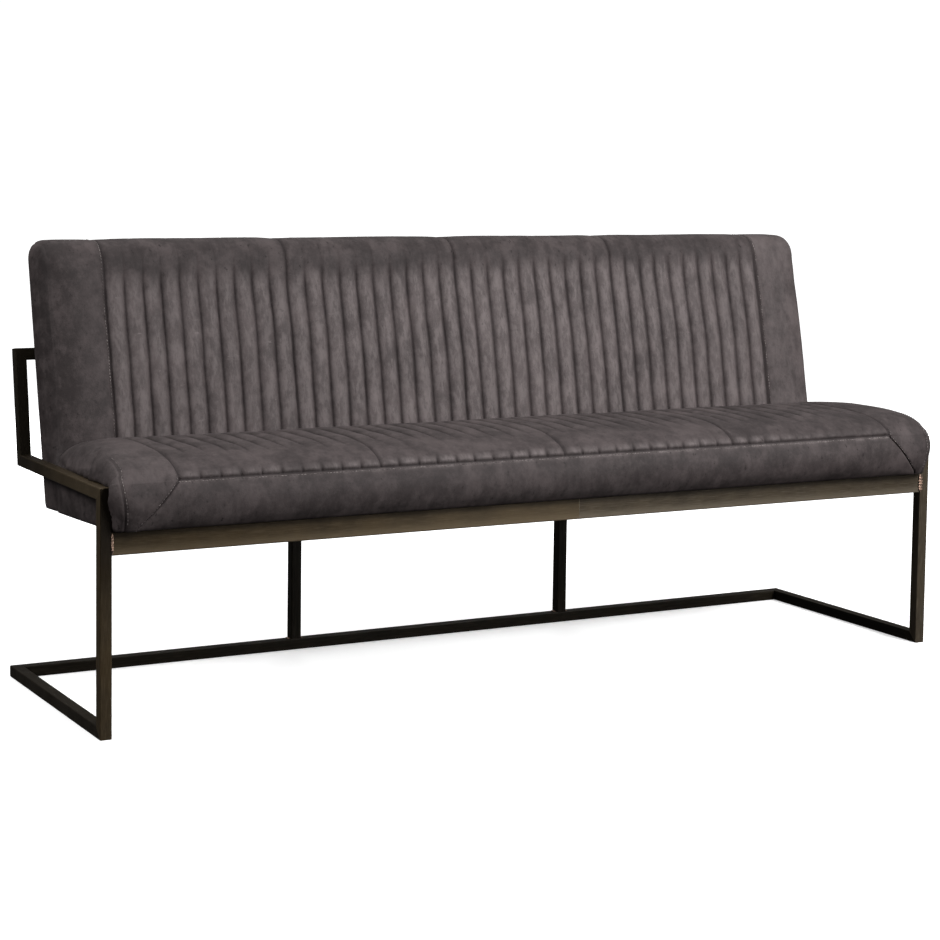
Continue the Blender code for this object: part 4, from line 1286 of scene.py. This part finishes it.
for x, y, way in staple_places:
    if bearer_low.x - STAPLE_CROWN < abs(x) < bearer_high.x + STAPLE_CROWN:
        continue
    ends = [np.array((x + k * way[0], y + k * way[1], 0.0)) for k in (-STAPLE_CROWN / 2, STAPLE_CROWN / 2)]
    for end in ends:
        end[2] = dust_height(end[0], end[1]) - STAPLE_PRESS
    add_strand(staple_points, staple_faces, *ends, np.array((0.0, 0.0, -1.0)), STAPLE_WIRE)
staples = new_piece("dust_cloth_staples", staple_points, staple_faces, zinc)
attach(staples, "root")


# Fixings: zinc-plated button-headed bolts with a hexagon socket hold the seat to its bearers and the
# back to its bar, and a moulded rubber wedge under each back bolt takes up the angle of the bar.
BOLT_RADIUS = 0.0030
BOLT_HEAD_RADIUS = 0.0055
BOLT_HEAD_HEIGHT = 0.0035
BOLT_POINT = 0.0006
SOCKET_FLATS = 0.0040
SOCKET_DEPTH = 0.0020
SOCKET_POINT = 0.0003
SOCKET_RIM = 0.0002
HEAD_ROUND = ((0.0, 0.55), (0.0004, 0.72), (0.0012, 0.92), (0.0022, 1.0), (BOLT_HEAD_HEIGHT, 1.0))
SHARP_TURN = math.radians(40.0)
BOLT_SIDES = 36
RUBBER_BLACK = (0.018, 0.018, 0.018, 1.0)
RUBBER_BLOOM = (0.045, 0.045, 0.046, 1.0)


def button_bolt(node, material):
    """A button-headed bolt that stands for its plain node."""
    places = np.array([vertex.co for vertex in nodes[node].data.vertices], float)
    middle = (places.min(axis=0) + places.max(axis=0)) / 2
    axis = np.linalg.svd(places - places.mean(axis=0), full_matrices=False)[2][0]
    reach = (places - middle) @ axis
    off = np.linalg.norm(places - middle - np.outer(reach, axis), axis=1)
    if reach[np.argmax(off)] > 0:
        axis, reach = -axis, -reach
    head = middle + axis * reach.min()
    length = reach.max() - reach.min()
    side = np.cross(axis, (1.0, 0.0, 0.0))
    side /= np.linalg.norm(side)
    other = np.cross(axis, side)
    rings = [(SOCKET_DEPTH, SOCKET_POINT, False), (SOCKET_DEPTH, SOCKET_FLATS / 2, True),
             (SOCKET_RIM, SOCKET_FLATS / 2, True)]
    rings += [(depth, BOLT_HEAD_RADIUS * share, False) for depth, share in HEAD_ROUND]
    rings += [(BOLT_HEAD_HEIGHT, BOLT_RADIUS, False), (length - BOLT_POINT, BOLT_RADIUS, False),
              (length, BOLT_RADIUS - BOLT_POINT, False)]
    points = []
    for depth, radius, hexagon in rings:
        for k in range(BOLT_SIDES):
            turn = 2 * math.pi * k / BOLT_SIDES
            wide = radius / math.cos(turn % (math.pi / 3) - math.pi / 6) if hexagon else radius
            points.append(head + axis * depth + wide * (math.cos(turn) * side + math.sin(turn) * other))
    name = node.replace("bolt", "button_bolt")
    bolt = new_piece(name, points, tube_faces(len(rings), BOLT_SIDES), material)
    bolt.data.set_sharp_from_angle(angle=SHARP_TURN)
    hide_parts(node)
    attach(bolt, "root")


def moulded_rubber():
    """Matt black rubber with a faint bloom."""
    material, tree, shader, places = new_material("moulded_rubber")
    bloom = ramped(tree, grained(tree, places, 130.0, 6.0, 0.65), 0.42, 0.72)
    coated(tree, shader, mixed(tree, bloom, RUBBER_BLACK, RUBBER_BLOOM),
           ramped(tree, bloom, 0.0, 1.0, 0.62, 0.80))
    bumped(tree, shader, grained(tree, places, 1500.0), 0.0002, 0.4)
    return material


rubber = moulded_rubber()
for k in range(1, 5):
    button_bolt(f"seat_bolt_{k}", zinc)
    button_bolt(f"back_bolt_{k}", zinc)
    finish_node(f"back_spacer_{k}", rubber)


# Plain pale floor and soft studio light: a broad soft lamp high at the right front and a weaker one
# low below it, one at the left, one behind that leaves no gloss, and a room that is palest overhead.
FLOOR_WHITE = (0.90, 0.90, 0.90, 1.0)
FLOOR_SHADE = (0.88, 0.88, 0.88, 1.0)
FLOOR_REACH = 40.0
FLOOR_GLOW = (0.5, 4.0, 0.42, 0.62)
ROOM_RISE = (0.35, 0.95)
ROOM_LOW, ROOM_HIGH = 0.045, 1.15
ROOM_SEEN = 1.05
PLAIN_WHITE = (1.0, 1.0, 1.0, 1.0)
LAMPS = (
    ("key_lamp", (1.9, -3.1, 2.5), (-0.1, 0.0, 0.45), (1.5, 1.5), 143.0, True),
    ("low_lamp", (1.9, -3.9, 0.75), (0.0, 0.0, 0.35), (1.5, 1.1), 33.0, True),
    ("left_lamp", (-3.5, -0.5, 2.5), (-0.9, 0.0, 0.4), (1.2, 1.2), 52.0, True),
    ("rear_lamp", (1.6, 3.8, 1.2), (0.0, 0.0, 0.5), (2.0, 1.4), 128.0, False),
)


def studio_floor():
    """A large flat floor of matt paint that brightens into the pale room."""
    material, tree, shader, places = new_material("floor_paint")
    join(tree, mixed(tree, grained(tree, places, 3.0), FLOOR_WHITE, FLOOR_SHADE), shader.inputs["Base Color"])
    shader.inputs["Roughness"].default_value = 0.95
    shader.inputs["Specular IOR Level"].default_value = 0.0
    away = put(tree, "ShaderNodeVectorMath", {0: places}, operation="LENGTH").outputs["Value"]
    shader.inputs["Emission Color"].default_value = PLAIN_WHITE
    join(tree, ramped(tree, away, *FLOOR_GLOW), shader.inputs["Emission Strength"])
    corners = [(x * FLOOR_REACH, y * FLOOR_REACH, 0.0) for x, y in ((-1, -1), (1, -1), (1, 1), (-1, 1))]
    floor = new_piece("studio_floor", corners, [(0, 1, 2, 3)], material)
    floor.visible_glossy = False
    floor.visible_diffuse = False


def soft_lamp(name, place, aim, size, power, mirrored):
    """A soft lamp of a given width and height that faces a point, and may show in gloss."""
    lamp = bpy.data.lights.new(name, "AREA")
    lamp.shape = "RECTANGLE"
    lamp.size, lamp.size_y = size
    lamp.energy = power
    holder = bpy.data.objects.new(name, lamp)
    holder.location = place
    holder.visible_glossy = mirrored
    holder.rotation_euler = (Vector(aim) - Vector(place)).to_track_quat("-Z", "Y").to_euler()
    bpy.context.scene.collection.objects.link(holder)


studio_floor()
for lamp in LAMPS:
    soft_lamp(*lamp)
world = bpy.data.worlds.new("pale_room")
world.use_nodes = True
bpy.context.scene.world = world
room = world.node_tree
facing = put(room, "ShaderNodeTexCoord").outputs["Generated"]
rise = put(room, "ShaderNodeSeparateXYZ", {0: facing}).outputs["Z"]
seen = put(room, "ShaderNodeLightPath").outputs["Is Camera Ray"]
glow = ramped(room, rise, *ROOM_RISE, ROOM_LOW, ROOM_HIGH)
glow = put(room, "ShaderNodeMix", {0: seen, 2: glow, 3: ROOM_SEEN}, data_type="FLOAT").outputs[0]
join(room, glow, room.nodes["Background"].inputs["Strength"])
room.nodes["Background"].inputs["Color"].default_value = PLAIN_WHITE
bpy.context.scene.view_settings.view_transform = "Standard"


# Camera where the photograph was taken from, a little above the back and to the left of the bench.
CAMERA_PLACE = Vector((-2.1380, -3.8031, 1.0121))
CAMERA_YAW = 0.5
CAMERA_PITCH = 0.0805
CAMERA_ROLL = 0.0134
CAMERA_LENS = 85.10
CAMERA_SHIFT = -0.149
CAMERA_FILM = 36.0
ahead = Vector((math.sin(CAMERA_YAW) * math.cos(CAMERA_PITCH),
                math.cos(CAMERA_YAW) * math.cos(CAMERA_PITCH), -math.sin(CAMERA_PITCH)))
level = Vector((math.cos(CAMERA_YAW), -math.sin(CAMERA_YAW), 0.0))
above = level.cross(ahead)
across = level * math.cos(CAMERA_ROLL) + above * math.sin(CAMERA_ROLL)
upright = above * math.cos(CAMERA_ROLL) - level * math.sin(CAMERA_ROLL)
lens = bpy.data.cameras.new("photo_camera")
lens.sensor_width = CAMERA_FILM
lens.lens = CAMERA_LENS
lens.shift_y = CAMERA_SHIFT
camera = bpy.data.objects.new("photo_camera", lens)
turned = Matrix((across, upright, -ahead)).transposed().to_4x4()
camera.matrix_world = Matrix.Translation(CAMERA_PLACE) @ turned
bpy.context.scene.collection.objects.link(camera)
bpy.context.scene.camera = camera
